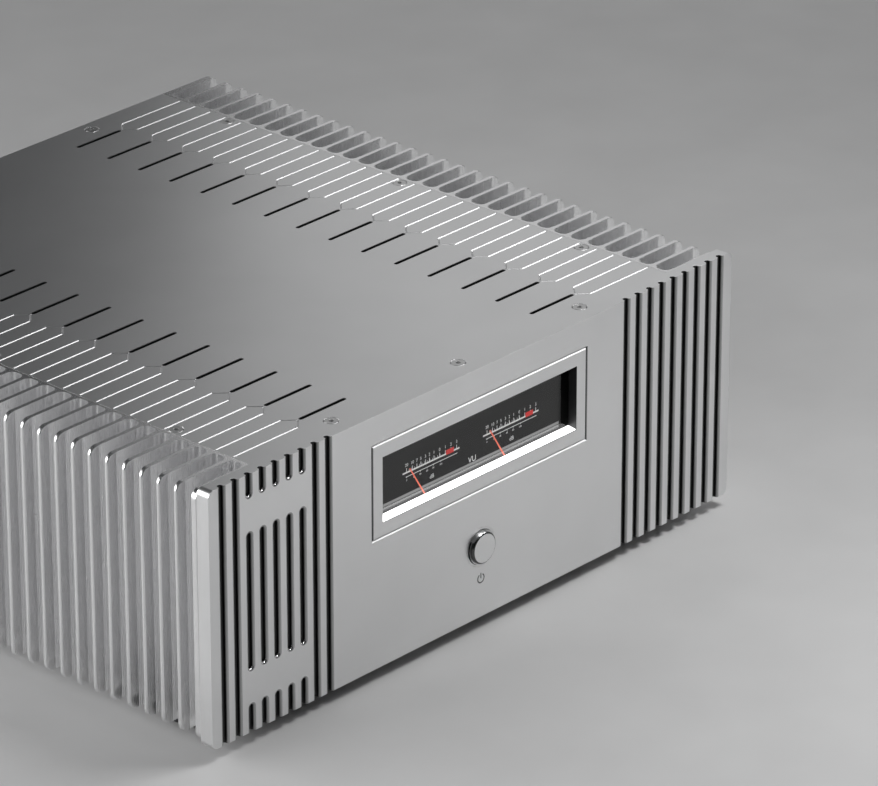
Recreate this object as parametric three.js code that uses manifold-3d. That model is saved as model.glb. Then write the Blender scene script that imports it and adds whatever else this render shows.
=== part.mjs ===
// A stereo power amplifier: a finned aluminium case with a thick front panel, two meters behind
// a window, one push button, and the power supply, boards and rear sockets that it needs inside.
// Millimetres. X points right as seen from the front, Y from the front to the back, Z up.
// The origin is on the table, under the middle of the whole object.
import * as THREE from "three";
import { mergeVertices } from "three/addons/utils/BufferGeometryUtils.js";
import Module from "manifold-3d";

const wasm = await Module();
wasm.setup();

// ---- Driving dimensions ----
const WIDTH = 430;
const PANEL_HEIGHT = 154;
const PANEL_THICKNESS = 8.7;
const BODY_DEPTH = 416.7; // front face to the back of the cover
const FLOOR_GAP = 8; // under the front panel
const BODY_STEP = 2.7; // the body's top and bottom lie this far inside the panel's edges
const BUTTON_PROUD = 3;
const TERMINAL_PROUD = 27.7;
const SEAM = 0.1; // between pieces that are bolted together
const RUNNING_GAP = 0.4; // between pieces that move past each other
const OVERCUT = 1; // how far a cutting tool reaches past the faces it cuts

// ---- Heights and depths that follow ----
const PANEL_BOTTOM = FLOOR_GAP;
const PANEL_TOP = PANEL_BOTTOM + PANEL_HEIGHT;
const BODY_BOTTOM = PANEL_BOTTOM + BODY_STEP;
const BODY_TOP = PANEL_TOP - BODY_STEP;
const FRONT = -(BODY_DEPTH + TERMINAL_PROUD - BUTTON_PROUD) / 2;
const BACK = FRONT + BODY_DEPTH;
const BODY_FRONT = FRONT + PANEL_THICKNESS + SEAM;
const SIDE = WIDTH / 2;

// ---- Case walls ----
const COVER_THICKNESS = 4;
const BASE_THICKNESS = 3;
const COVER_EDGE = 171.4; // half the width of the cover and of the base plate
const SINK_INNER = 159.3; // inner face of each heatsink
const FIN_ROOT = 173;
const COVER_UNDERSIDE = BODY_TOP - COVER_THICKNESS;
const BASE_TOP = BODY_BOTTOM + BASE_THICKNESS;

// ---- Fins ----
const FIN_COUNT = 30; // between the two thicker end fins
const FIN_THICKNESS = 2.8;
const END_FIN = 4.7;
const FIN_PITCH = (BODY_DEPTH - PANEL_THICKNESS - 2 * END_FIN + FIN_THICKNESS) / (FIN_COUNT + 1);
const FIRST_FIN = FRONT + PANEL_THICKNESS + END_FIN - FIN_THICKNESS / 2 + FIN_PITCH;
const GAP_FILLET = 4;
const FIN_CORNER = 5;

const finCentre = (index) => FIRST_FIN + index * FIN_PITCH;

// ---- Looks ----
const look = (color, roughness, metalness) => ({ color, roughness, metalness });
const SATIN_ALUMINIUM = look(0xa9abac, 0.38, 1);
const BRIGHT_ALUMINIUM = look(0xc4c6c8, 0.25, 1);
const BLACK_STEEL = look(0x1c1d1f, 0.55, 0.6);
const BLACK_PLASTIC = look(0x141415, 0.5, 0);
const SMOKED_GLASS = look(0x1a1c1e, 0.05, 0);
const LIT_WHITE = look(0xf6f8fa, 0.4, 0);
const NEEDLE_RED = look(0xe8604c, 0.45, 0);
const RUBBER = look(0x111112, 0.9, 0);
const COPPER_WOUND = look(0xb8763a, 0.4, 0.6);
const BOARD_GREEN = look(0x1f4a33, 0.6, 0);
const CAP_SLEEVE = look(0x232c44, 0.4, 0);
const PLATED_BRASS = look(0xc9a24e, 0.25, 1);
const RED_PLASTIC = look(0x9c1f1a, 0.4, 0);

// ---- Geometry helpers ----
function solidOf(geometry) {
  const bare = geometry.clone();
  bare.deleteAttribute("normal");
  bare.deleteAttribute("uv");
  const merged = mergeVertices(bare, 1e-4);
  const vertProperties = new Float32Array(merged.attributes.position.array);
  const triVerts = new Uint32Array(merged.index.array);
  const make = () => new wasm.Manifold(new wasm.Mesh({ numProp: 3, vertProperties, triVerts }));
  const solid = make();
  if (solid.volume() >= 0) return solid;
  for (let i = 0; i < triVerts.length; i += 3) {
    [triVerts[i + 1], triVerts[i + 2]] = [triVerts[i + 2], triVerts[i + 1]];
  }
  return make();
}

function geometryOf(solid) {
  const mesh = solid.getMesh();
  const geometry = new THREE.BufferGeometry();
  geometry.setAttribute("position", new THREE.BufferAttribute(mesh.vertProperties, 3));
  geometry.setIndex(new THREE.BufferAttribute(mesh.triVerts, 1));
  geometry.computeVertexNormals();
  return geometry;
}

const unite = (geometries) => geometries.map(solidOf).reduce((sum, solid) => sum.add(solid));
const cut = (geometry, tools) => geometryOf(solidOf(geometry).subtract(unite(tools)));
const join = (...geometries) => geometryOf(unite(geometries));
const keepInside = (geometry, limit) => geometryOf(solidOf(geometry).intersect(solidOf(limit)));

// A box from its low and high corners.
function box([x0, y0, z0], [x1, y1, z1]) {
  const geometry = new THREE.BoxGeometry(x1 - x0, y1 - y0, z1 - z0);
  return geometry.translate((x0 + x1) / 2, (y0 + y1) / 2, (z0 + z1) / 2);
}

// A box centred on x, from y0 to y1 and z0 to z1.
const block = (x, width, y0, y1, z0, z1) => box([x - width / 2, y0, z0], [x + width / 2, y1, z1]);

// An arc in an outline becomes twice this many straight segments.
const ARC_STEPS = 2;
const COARSE_ARC_STEPS = 1;

function extrude(shape, depth, curveSegments = ARC_STEPS) {
  return new THREE.ExtrudeGeometry(shape, { depth, bevelEnabled: false, curveSegments });
}

// A plan outline (x, y) raised from z0 to z1.
const raised = (shape, z0, z1, steps) => extrude(shape, z1 - z0, steps).translate(0, 0, z0);

// A front-view outline (x, z) carried from y0 to y1.
const carriedBack = (shape, y0, y1, steps) =>
  extrude(shape, y1 - y0, steps).rotateX(Math.PI / 2).translate(0, y1, 0);

// A side-view outline (y, z) carried from x0 to x1.
function carriedAcross(shape, x0, x1) {
  const turn = new THREE.Matrix4().makeBasis(
    new THREE.Vector3(0, 1, 0),
    new THREE.Vector3(0, 0, 1),
    new THREE.Vector3(1, 0, 0),
  );
  return extrude(shape, x1 - x0).applyMatrix4(turn).translate(x0, 0, 0);
}

const outline = (points) => new THREE.Shape(points.map(([a, b]) => new THREE.Vector2(a, b)));

function roundedRectangle(x0, x1, z0, z1, radius) {
  const shape = new THREE.Shape();
  shape.moveTo(x0 + radius, z0);
  shape.absarc(x1 - radius, z0 + radius, radius, -Math.PI / 2, 0);
  shape.absarc(x1 - radius, z1 - radius, radius, 0, Math.PI / 2);
  shape.absarc(x0 + radius, z1 - radius, radius, Math.PI / 2, Math.PI);
  shape.absarc(x0 + radius, z0 + radius, radius, Math.PI, 1.5 * Math.PI);
  return shape;
}

// A slot along x with round ends, centred on y = 0.
function slotOutline(x0, x1, width) {
  const radius = width / 2;
  const shape = new THREE.Shape();
  shape.absarc(x1 - radius, 0, radius, -Math.PI / 2, Math.PI / 2);
  shape.absarc(x0 + radius, 0, radius, Math.PI / 2, 1.5 * Math.PI);
  return shape;
}

// A solid of revolution from [radius, height] pairs; its axis is Y.
function turnedAlongY(profile, segments = 24) {
  return new THREE.LatheGeometry(profile.map(([r, h]) => new THREE.Vector2(r, h)), segments);
}

// The same with its axis along Z.
const turnedAlongZ = (profile, segments) => turnedAlongY(profile, segments).rotateX(Math.PI / 2);

// A plain round bar between two heights, for turnedAlongY and turnedAlongZ.
const bar = (radius, low, high) => [[0, low], [radius, low], [radius, high], [0, high]];

const amplifier = new THREE.Group();

function add(name, geometry, { color, roughness, metalness }, position = [0, 0, 0]) {
  const material = new THREE.MeshStandardMaterial({ color, roughness, metalness });
  const mesh = new THREE.Mesh(geometry, material);
  mesh.name = name;
  mesh.position.set(...position);
  amplifier.add(mesh);
}

// ---- Meter window, in the front panel ----
const BEZEL = { halfWidth: 88.4, low: PANEL_BOTTOM + 79.1, high: PANEL_BOTTOM + 136 };
const WINDOW = { halfWidth: 80.2, low: PANEL_BOTTOM + 87.7, high: PANEL_BOTTOM + 127.2 };
const BEZEL_THICKNESS = 5.9;
const SEAM_CHAMFER = 0.75; // on both sides of the line round the bezel
const POCKET = { halfWidth: 94, low: PANEL_BOTTOM + 68, high: PANEL_BOTTOM + 142 }; // behind it
const METER_X = 33; // each needle's pivot, left and right of the middle
const METER_Z = PANEL_BOTTOM + 79;
const BUTTON_Z = PANEL_BOTTOM + 43.7;
const BUTTON_RADIUS = 10.2;
const SLEEVE_INNER = BUTTON_RADIUS + RUNNING_GAP;
const SLEEVE_OUTER = 11.7;

// A rectangular bar along Y whose sides slope from one size to another.
function tapered({ halfWidth, low, high }, frontGrow, y0, y1) {
  const middle = (low + high) / 2;
  const halfHeight = (high - low) / 2;
  const shape = new THREE.CylinderGeometry(1, 1, y1 - y0, 4, 1).rotateY(Math.PI / 4);
  const places = shape.attributes.position;
  for (let i = 0; i < places.count; i += 1) {
    const grow = places.getY(i) < 0 ? frontGrow : 0;
    places.setX(i, Math.sign(places.getX(i)) * (halfWidth + grow));
    places.setZ(i, Math.sign(places.getZ(i)) * (halfHeight + grow));
  }
  return shape.translate(0, (y0 + y1) / 2, middle);
}

const windowBlock = (window, grow, y0, y1) =>
  block(0, 2 * (window.halfWidth + grow), y0, y1, window.low - grow, window.high + grow);

// ---- Front panel ----
const GROOVES_PER_SIDE = 9;
const GROOVE_PITCH = 10.24;
const OUTER_GROOVE = 204.8;
const GROOVE_WIDTH = 3.1; // between the two rims
const GROOVE_DEPTH = 3;
const GROOVE_RIM = 1.4; // radius of the soft rim on each side
const GROOVE_OVERRUN = 10; // a full-height groove runs this far past the panel's edges
const PANEL_CORNER = 4;
// Stretches of a groove, in height above the panel's bottom edge. On the left side the grooves
// from the third to the seventh are broken, which leaves two plain bands across them.
const FULL_STRETCH = [-GROOVE_OVERRUN, PANEL_HEIGHT + GROOVE_OVERRUN];
const BROKEN_STRETCHES = [[FULL_STRETCH[0], 16.3], [38, 119], [140.9, FULL_STRETCH[1]]];
const FIRST_BROKEN = 2;
const LAST_BROKEN = 6;

// Half of a groove's section as [distance from its middle, y]: a soft rim, then a round bottom.
function grooveHalf() {
  const radius = GROOVE_WIDTH / 2;
  const rim = radius + GROOVE_RIM;
  const path = new THREE.Path();
  path.moveTo(rim, FRONT - OVERCUT);
  path.lineTo(rim, FRONT);
  path.absarc(rim, FRONT + GROOVE_RIM, GROOVE_RIM, -Math.PI / 2, -Math.PI, true);
  path.absarc(0, FRONT + GROOVE_DEPTH - radius, radius, 0, Math.PI / 2);
  return path.getPoints(COARSE_ARC_STEPS).map(({ x, y }) => [Math.max(x, 0), y]);
}

// A trough with round ends, cut up the panel at x.
function groove(x, [start, end]) {
  const half = grooveHalf();
  const otherHalf = half.slice(0, -1).reverse();
  const section = outline([
    ...half.map(([distance, y]) => [x + distance, y]),
    ...otherHalf.map(([distance, y]) => [x - distance, y]),
  ]);
  const low = PANEL_BOTTOM + start + GROOVE_WIDTH / 2;
  const high = PANEL_BOTTOM + end - GROOVE_WIDTH / 2;
  const roundEnd = turnedAlongY([[0, FRONT - OVERCUT], ...half], 8);
  const ends = [low, high].map((z) => roundEnd.clone().translate(x, 0, z));
  return join(raised(section, low, high), ...ends);
}

function frontPanel() {
  const back = FRONT + PANEL_THICKNESS;
  const slab = carriedBack(
    roundedRectangle(-SIDE, SIDE, PANEL_BOTTOM, PANEL_TOP, PANEL_CORNER),
    FRONT,
    back,
  );
  const buttonHole = bar(SLEEVE_OUTER + SEAM, FRONT - OVERCUT, back + OVERCUT);
  const cuts = [
    windowBlock(BEZEL, SEAM, FRONT - OVERCUT, back + OVERCUT),
    tapered(BEZEL, SEAM_CHAMFER + SEAM, FRONT, FRONT + SEAM_CHAMFER),
    windowBlock(POCKET, 0, FRONT + BEZEL_THICKNESS + SEAM, back + OVERCUT),
    turnedAlongY(buttonHole).translate(0, 0, BUTTON_Z),
  ];
  for (let i = 0; i < GROOVES_PER_SIDE; i += 1) {
    const x = OUTER_GROOVE - i * GROOVE_PITCH;
    const isBroken = i >= FIRST_BROKEN && i <= LAST_BROKEN;
    const leftStretches = isBroken ? BROKEN_STRETCHES : [FULL_STRETCH];
    cuts.push(groove(x, FULL_STRETCH));
    cuts.push(...leftStretches.map((stretch) => groove(-x, stretch)));
  }
  return cut(slab, cuts);
}
add("front_panel", frontPanel(), SATIN_ALUMINIUM);

// ---- Bezel, light bar, glass, dial and needles ----
const GLASS_FRONT = FRONT + BEZEL_THICKNESS + SEAM;
const GLASS_THICKNESS = 0.8;
const NEEDLE_GAP = 0.2; // in front of the needles and behind them
const NEEDLE_THICKNESS = 0.3;
const NEEDLE_FRONT = GLASS_FRONT + GLASS_THICKNESS + NEEDLE_GAP;
const DIAL_FRONT = NEEDLE_FRONT + NEEDLE_THICKNESS + NEEDLE_GAP;
const DIAL_THICKNESS = 1.5;
const SHAFT_RADIUS = 0.9;
const SHAFT_LENGTH = 6;
const LIGHT_BAR_GAP = 0.3; // behind the bezel's front face, and the bar's height there
const LIGHT_BAR_RISE = 1.1; // the bar's height at the glass

function meterBezel() {
  const depth = FRONT + BEZEL_THICKNESS;
  const chamfered = tapered(BEZEL, -SEAM_CHAMFER, FRONT, FRONT + SEAM_CHAMFER);
  const back = windowBlock(BEZEL, 0, FRONT + SEAM_CHAMFER, depth);
  return cut(join(chamfered, back), [windowBlock(WINDOW, 0, FRONT - OVERCUT, depth + OVERCUT)]);
}
add("meter_bezel", meterBezel(), SATIN_ALUMINIUM);

function lightBar() {
  const y0 = FRONT + LIGHT_BAR_GAP;
  const y1 = FRONT + BEZEL_THICKNESS;
  const z0 = WINDOW.low + SEAM;
  const side = outline([[y0, z0], [y1, z0], [y1, z0 + LIGHT_BAR_RISE], [y0, z0 + LIGHT_BAR_GAP]]);
  return carriedAcross(side, -WINDOW.halfWidth + SEAM, WINDOW.halfWidth - SEAM);
}
add("meter_light_bar", lightBar(), LIT_WHITE);
const GLASS_MARGIN = 2; // inside the pocket's walls
const DIAL_MARGIN = 1;
add(
  "meter_glass",
  windowBlock(POCKET, -GLASS_MARGIN, GLASS_FRONT, GLASS_FRONT + GLASS_THICKNESS),
  SMOKED_GLASS,
);

const shaftHole = (x, y0, y1) =>
  turnedAlongY(bar(SHAFT_RADIUS + RUNNING_GAP, y0, y1), 12).translate(x, 0, METER_Z);

function dialPlate() {
  const back = DIAL_FRONT + DIAL_THICKNESS;
  const plate = windowBlock(POCKET, -DIAL_MARGIN, DIAL_FRONT, back);
  const holes = [-METER_X, METER_X].map((x) => shaftHole(x, DIAL_FRONT - OVERCUT, back + OVERCUT));
  return cut(plate, holes);
}
add("meter_dial_plate", dialPlate(), BLACK_PLASTIC);

const NEEDLE = { length: 33.8, tail: 6, width: 1.2, tipWidth: 0.7, hub: 2.2 };
const NEEDLE_REST = THREE.MathUtils.degToRad(31.6); // to the left of upright
const MOVEMENT = { width: 44, depth: 26, low: METER_Z - 14, high: METER_Z + 30 };

// The pointer, its hub and the shaft behind it, standing upright on the pivot at the origin.
function needle() {
  const { length, tail } = NEEDLE;
  const [half, halfTip] = [NEEDLE.width / 2, NEEDLE.tipWidth / 2];
  const back = NEEDLE_FRONT + NEEDLE_THICKNESS;
  const rightEdge = [[half, -tail], [half, 0], [halfTip, length]];
  const leftEdge = rightEdge.map(([x, z]) => [-x, z]).reverse();
  const pointer = carriedBack(outline([...rightEdge, ...leftEdge]), NEEDLE_FRONT, back);
  const hub = turnedAlongY(bar(NEEDLE.hub, NEEDLE_FRONT, back), 16);
  const shaft = turnedAlongY(bar(SHAFT_RADIUS, NEEDLE_FRONT, NEEDLE_FRONT + SHAFT_LENGTH), 12);
  return join(pointer, hub, shaft).rotateY(-NEEDLE_REST);
}

function movement(x) {
  const y0 = DIAL_FRONT + DIAL_THICKNESS + SEAM;
  const housing = block(x, MOVEMENT.width, y0, y0 + MOVEMENT.depth, MOVEMENT.low, MOVEMENT.high);
  return cut(housing, [shaftHole(x, y0 - OVERCUT, NEEDLE_FRONT + SHAFT_LENGTH + OVERCUT)]);
}
for (const [side, x] of [["left", -METER_X], ["right", METER_X]]) {
  add(`needle_${side}`, needle(), NEEDLE_RED, [x, 0, METER_Z]);
  add(`meter_movement_${side}`, movement(x), BLACK_PLASTIC);
}

// ---- Power button ----
const BUTTON_TRAVEL = 2.5;
const BUTTON_LENGTH = 15;
const BUTTON_RIM = 2;
const SLEEVE_BACK = FRONT + 13;
const SLEEVE_FLANGE = SLEEVE_OUTER + 3;
const BUTTON_BACK = FRONT - BUTTON_PROUD + BUTTON_LENGTH;
const SWITCH_FRONT = BUTTON_BACK + BUTTON_TRAVEL + RUNNING_GAP;

function powerButton() {
  const face = FRONT - BUTTON_PROUD;
  return turnedAlongY([[0, face], [BUTTON_RADIUS - BUTTON_RIM, face], [BUTTON_RADIUS, face + BUTTON_RIM],
    [BUTTON_RADIUS, BUTTON_BACK], [0, BUTTON_BACK]], 32);
}
add("power_button", powerButton(), BRIGHT_ALUMINIUM, [0, 0, BUTTON_Z]);

function buttonSleeve() {
  const flangeFront = FRONT + PANEL_THICKNESS + SEAM;
  return turnedAlongY([[SLEEVE_INNER, FRONT], [SLEEVE_OUTER, FRONT],
    [SLEEVE_OUTER, flangeFront], [SLEEVE_FLANGE, flangeFront], [SLEEVE_FLANGE, SLEEVE_BACK],
    [SLEEVE_INNER, SLEEVE_BACK], [SLEEVE_INNER, FRONT]], 32);
}
add("button_sleeve", buttonSleeve(), SATIN_ALUMINIUM, [0, 0, BUTTON_Z]);

// A square housing on a wider mounting flange.
const SWITCH = { size: 22, depth: 20 };
const SWITCH_FLANGE = { width: 50, height: 32, inset: 4, thickness: 2 };

function powerSwitch() {
  const half = SWITCH.size / 2;
  const halfFlange = SWITCH_FLANGE.height / 2;
  const y0 = SWITCH_FRONT + SWITCH_FLANGE.inset;
  const y1 = y0 + SWITCH_FLANGE.thickness;
  return join(
    block(0, SWITCH.size, SWITCH_FRONT, SWITCH_FRONT + SWITCH.depth, BUTTON_Z - half, BUTTON_Z + half),
    block(0, SWITCH_FLANGE.width, y0, y1, BUTTON_Z - halfFlange, BUTTON_Z + halfFlange),
  );
}
add("power_switch", powerSwitch(), BLACK_PLASTIC);

// ---- Cover screws ----
const SCREW_HEAD = 4.4;
const SCREW_SHANK = 2;
const SCREW_HEAD_DEPTH = 2.4;
const SCREW_LENGTH = 12;
const SCREW_SEGMENTS = 12;
const SCREW_HOLE_GAP = 0.2;
const SOCKET_RADIUS = 1.45;
const SOCKET_DEPTH = 1.5;
const FRONT_SCREW_Y = FRONT + 17.5;
const BACK_SCREW_Y = BACK - 8.7;
const MIDDLE_SCREW_Y = FRONT + 214.3;
const SIDE_SCREW_STEP = 142.3;
const ROW_SCREW_STEP = 102;
const SIDE_SCREW_X = (SINK_INNER + FIN_ROOT) / 2;

function screwPlaces() {
  const places = [];
  for (const x of [-ROW_SCREW_STEP, 0, ROW_SCREW_STEP]) {
    places.push([x, FRONT_SCREW_Y], [x, BACK_SCREW_Y]);
  }
  for (const step of [-SIDE_SCREW_STEP, 0, SIDE_SCREW_STEP]) {
    places.push([-SIDE_SCREW_X, MIDDLE_SCREW_Y + step], [SIDE_SCREW_X, MIDDLE_SCREW_Y + step]);
  }
  return places;
}

// A countersunk screw's outline grown by a gap, with its flat top at height 0.
function countersunk(gap, top, length) {
  return [[0, -length], [SCREW_SHANK + gap, -length], [SCREW_SHANK + gap, -SCREW_HEAD_DEPTH - gap],
    [SCREW_HEAD + gap, -gap], [SCREW_HEAD + gap, top], [0, top]];
}

// Every screw's hole, for the pieces that the screws pass through.
const screwHoles = () =>
  screwPlaces().map(([x, y]) =>
    turnedAlongZ(countersunk(SCREW_HOLE_GAP, OVERCUT, SCREW_LENGTH + OVERCUT), SCREW_SEGMENTS)
      .translate(x, y, BODY_TOP));

function coverScrew() {
  const socket = turnedAlongZ(bar(SOCKET_RADIUS, -SOCKET_DEPTH, OVERCUT), 6);
  return cut(turnedAlongZ(countersunk(0, 0, SCREW_LENGTH), SCREW_SEGMENTS), [socket]);
}
screwPlaces().forEach(([x, y], index) => {
  const name = `cover_screw_${String(index + 1).padStart(2, "0")}`;
  add(name, coverScrew(), BRIGHT_ALUMINIUM, [x, y, BODY_TOP]);
});

// ---- Top cover ----
// One slot over each pair of fins; the shallow V lines that lead to the slots are a surface finish.
const SLOT_OUTER = 112.6;
const SLOT_INNER = 75.8;
const SLOT_WIDTH = 2.5;

function ventSlot(side, pair) {
  const y = (finCentre(2 * pair) + finCentre(2 * pair + 1)) / 2;
  const ends = [side * SLOT_INNER, side * SLOT_OUTER].sort((a, b) => a - b);
  const slot = slotOutline(ends[0], ends[1], SLOT_WIDTH);
  return raised(slot, COVER_UNDERSIDE - OVERCUT, BODY_TOP + OVERCUT).translate(0, y, 0);
}

function topCover() {
  const plate = box([-COVER_EDGE, BODY_FRONT, COVER_UNDERSIDE], [COVER_EDGE, BACK, BODY_TOP]);
  const cutters = screwHoles();
  for (let pair = 0; pair < FIN_COUNT / 2; pair += 1) {
    cutters.push(ventSlot(-1, pair), ventSlot(1, pair));
  }
  return cut(plate, cutters);
}
add("top_cover", topCover(), SATIN_ALUMINIUM);

// ---- Heatsinks ----
// The plan of the right-hand heatsink: a wall with a comb of fins and round-bottomed gaps.
function finPlan() {
  const shape = new THREE.Shape();
  const root = FIN_ROOT + GAP_FILLET;
  shape.moveTo(SINK_INNER, BODY_FRONT);
  shape.lineTo(SIDE, BODY_FRONT);
  let gapStart = FRONT + PANEL_THICKNESS + END_FIN;
  for (let gap = 0; gap <= FIN_COUNT; gap += 1) {
    const isLast = gap === FIN_COUNT;
    const gapEnd = isLast ? BACK - END_FIN : finCentre(gap) - FIN_THICKNESS / 2;
    shape.lineTo(SIDE, gapStart);
    shape.absarc(root, gapStart + GAP_FILLET, GAP_FILLET, 1.5 * Math.PI, Math.PI, true);
    shape.absarc(root, gapEnd - GAP_FILLET, GAP_FILLET, Math.PI, 0.5 * Math.PI, true);
    shape.lineTo(SIDE, gapEnd);
    gapStart = gapEnd + FIN_THICKNESS;
  }
  shape.lineTo(SIDE, BACK);
  shape.lineTo(SINK_INNER, BACK);
  return shape;
}

function heatsinkRight() {
  const comb = raised(finPlan(), BODY_BOTTOM, BODY_TOP, COARSE_ARC_STEPS);
  // The outer corners of every fin are rounded; the inner side stays square.
  const inside = SINK_INNER - 2 * FIN_CORNER;
  const frontView = roundedRectangle(inside, SIDE, BODY_BOTTOM, BODY_TOP, FIN_CORNER);
  const limit = carriedBack(frontView, BODY_FRONT - OVERCUT, BACK + OVERCUT, COARSE_ARC_STEPS);
  const rounded = keepInside(comb, limit);
  const ledge = COVER_EDGE + SEAM;
  const [y0, y1] = [BODY_FRONT - OVERCUT, BACK + OVERCUT];
  return cut(rounded, [
    box([SINK_INNER - OVERCUT, y0, COVER_UNDERSIDE - SEAM], [ledge, y1, BODY_TOP + OVERCUT]),
    box([SINK_INNER - OVERCUT, y0, BODY_BOTTOM - OVERCUT], [ledge, y1, BASE_TOP + SEAM]),
    ...screwHoles(),
  ]);
}
const rightSink = heatsinkRight();
add("heatsink_right", rightSink, SATIN_ALUMINIUM);
// The left one is the same plan mirrored. solidOf turns the mirrored triangles outside out again.
add("heatsink_left", geometryOf(solidOf(rightSink.clone().scale(-1, 1, 1))), SATIN_ALUMINIUM);

// ---- Base plate, rear panel and the two rails that hold the cover ----
const REAR_THICKNESS = 3;
const WALL_EDGE = SINK_INNER - SEAM;
const REAR_FRONT = BACK - REAR_THICKNESS;
const RAIL_HEIGHT = 14;
const RAIL_DEPTH = 12;

add(
  "bottom_plate",
  box([-COVER_EDGE, BODY_FRONT, BODY_BOTTOM], [COVER_EDGE, BACK, BASE_TOP]),
  BLACK_STEEL,
);

function rail(y0) {
  const z1 = COVER_UNDERSIDE - SEAM;
  return cut(block(0, 2 * WALL_EDGE, y0, y0 + RAIL_DEPTH, z1 - RAIL_HEIGHT, z1), screwHoles());
}
add("front_rail", rail(FRONT_SCREW_Y - RAIL_DEPTH / 2), SATIN_ALUMINIUM);
const BACK_RAIL_FRONT = REAR_FRONT - SEAM - RAIL_DEPTH;
add("rear_rail", rail(BACK_RAIL_FRONT), SATIN_ALUMINIUM);

// ---- Rear sockets: places on the panel, seen with X to the right from the front ----
const SPEAKER_X = 100;
const SPEAKER_Z = PANEL_BOTTOM + 96;
const POST_STEP = 26;
const INPUT_X = 92;
const INPUT_Z = PANEL_BOTTOM + 42;
const RCA_STEP = 24;
const RCA_Z = INPUT_Z;
const MAINS_Z = PANEL_BOTTOM + 96;
const MAINS = { width: 34, height: 56, lip: 2 };
const FLANGE_THICKNESS = 2.5;
const FLANGE_FRONT = BACK + SEAM;
const FLANGE_BACK = FLANGE_FRONT + FLANGE_THICKNESS;
const POST_HOLE = 5;
const SOCKET_HOLE = 12;

const roundAlongY = (radius, y0, y1, x, z, segments) =>
  turnedAlongY(bar(radius, y0, y1), segments).translate(x, 0, z);
const bothSides = (make) => [-1, 1].flatMap((side) => make(side));

function rearPanel() {
  const low = BASE_TOP + SEAM;
  const plate = block(0, 2 * WALL_EDGE, REAR_FRONT, BACK, low, COVER_UNDERSIDE - SEAM);
  const [y0, y1] = [REAR_FRONT - OVERCUT, BACK + OVERCUT];
  const through = (radius, x, z) => roundAlongY(radius, y0, y1, x, z, 16);
  const mainsReach = MAINS.height / 2 - MAINS.lip;
  const openings = [
    block(0, MAINS.width - 2 * MAINS.lip, y0, y1, MAINS_Z - mainsReach, MAINS_Z + mainsReach),
    ...bothSides((side) => [
      through(POST_HOLE, side * SPEAKER_X - POST_STEP / 2, SPEAKER_Z),
      through(POST_HOLE, side * SPEAKER_X + POST_STEP / 2, SPEAKER_Z),
      through(SOCKET_HOLE, side * INPUT_X, INPUT_Z),
      through(POST_HOLE, (side * RCA_STEP) / 2, RCA_Z),
    ]),
  ];
  return cut(plate, openings);
}
add("rear_panel", rearPanel(), SATIN_ALUMINIUM);

// ---- Speaker terminals: an insulating plate with two studs, and a cap that screws on each ----
const STUD_RADIUS = 3;
const CAP_RADIUS = 8;
const CAP_LENGTH = 19;
const CAP_FRONT = FLANGE_BACK + RUNNING_GAP;
const CAP_FLATS = 12;
const CAP_NECK = { radius: 6.4, length: 5 };
const CAP_EDGE = 1;
const TERMINAL_PLATE = { halfWidth: 29, halfHeight: 14, corner: 4 };
const INSULATOR_GAP = 0.3; // round each stud's insulator where it passes through the rear panel
const INSULATOR_REACH = 6; // inside the rear panel
const STUD_REACH = 14;

function speakerTerminal() {
  const { halfWidth, halfHeight, corner } = TERMINAL_PLATE;
  const shape = roundedRectangle(
    -halfWidth, halfWidth, SPEAKER_Z - halfHeight, SPEAKER_Z + halfHeight, corner);
  const plate = carriedBack(shape, FLANGE_FRONT, FLANGE_BACK);
  const studEnd = CAP_FRONT + CAP_LENGTH - 4;
  const stud = (x) => [
    roundAlongY(POST_HOLE - INSULATOR_GAP, REAR_FRONT - INSULATOR_REACH, FLANGE_BACK, x, SPEAKER_Z, 12),
    roundAlongY(STUD_RADIUS, REAR_FRONT - STUD_REACH, studEnd, x, SPEAKER_Z, 12),
  ];
  return join(plate, ...stud(-POST_STEP / 2), ...stud(POST_STEP / 2));
}

// A hollow cap with a plain neck, closed at its outer end except for the hole that takes a plug.
function terminalCap() {
  const y1 = BACK + TERMINAL_PROUD;
  const inner = STUD_RADIUS + RUNNING_GAP;
  const shoulder = CAP_FRONT + CAP_NECK.length;
  return turnedAlongY([[inner, CAP_FRONT], [CAP_NECK.radius, CAP_FRONT], [CAP_NECK.radius, shoulder],
    [CAP_RADIUS, shoulder + CAP_EDGE], [CAP_RADIUS, y1 - CAP_EDGE], [CAP_RADIUS - CAP_EDGE, y1],
    [inner, y1], [inner, CAP_FRONT]], CAP_FLATS);
}
for (const [side, sign] of [["left", -1], ["right", 1]]) {
  const x = sign * SPEAKER_X;
  add(`speaker_terminal_${side}`, speakerTerminal(), BLACK_PLASTIC, [x, 0, 0]);
  add(`terminal_cap_${side}_black`, terminalCap(), BLACK_PLASTIC, [x - POST_STEP / 2, 0, SPEAKER_Z]);
  add(`terminal_cap_${side}_red`, terminalCap(), RED_PLASTIC, [x + POST_STEP / 2, 0, SPEAKER_Z]);
}

// ---- Signal inputs ----
const XLR = { halfWidth: 13, halfHeight: 15.5, corner: 3, depth: 16, mouthDepth: 8, wall: 2 };
const XLR_PIN = { radius: 1.2, circle: 4.5, length: 10, recess: 2 };

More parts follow.
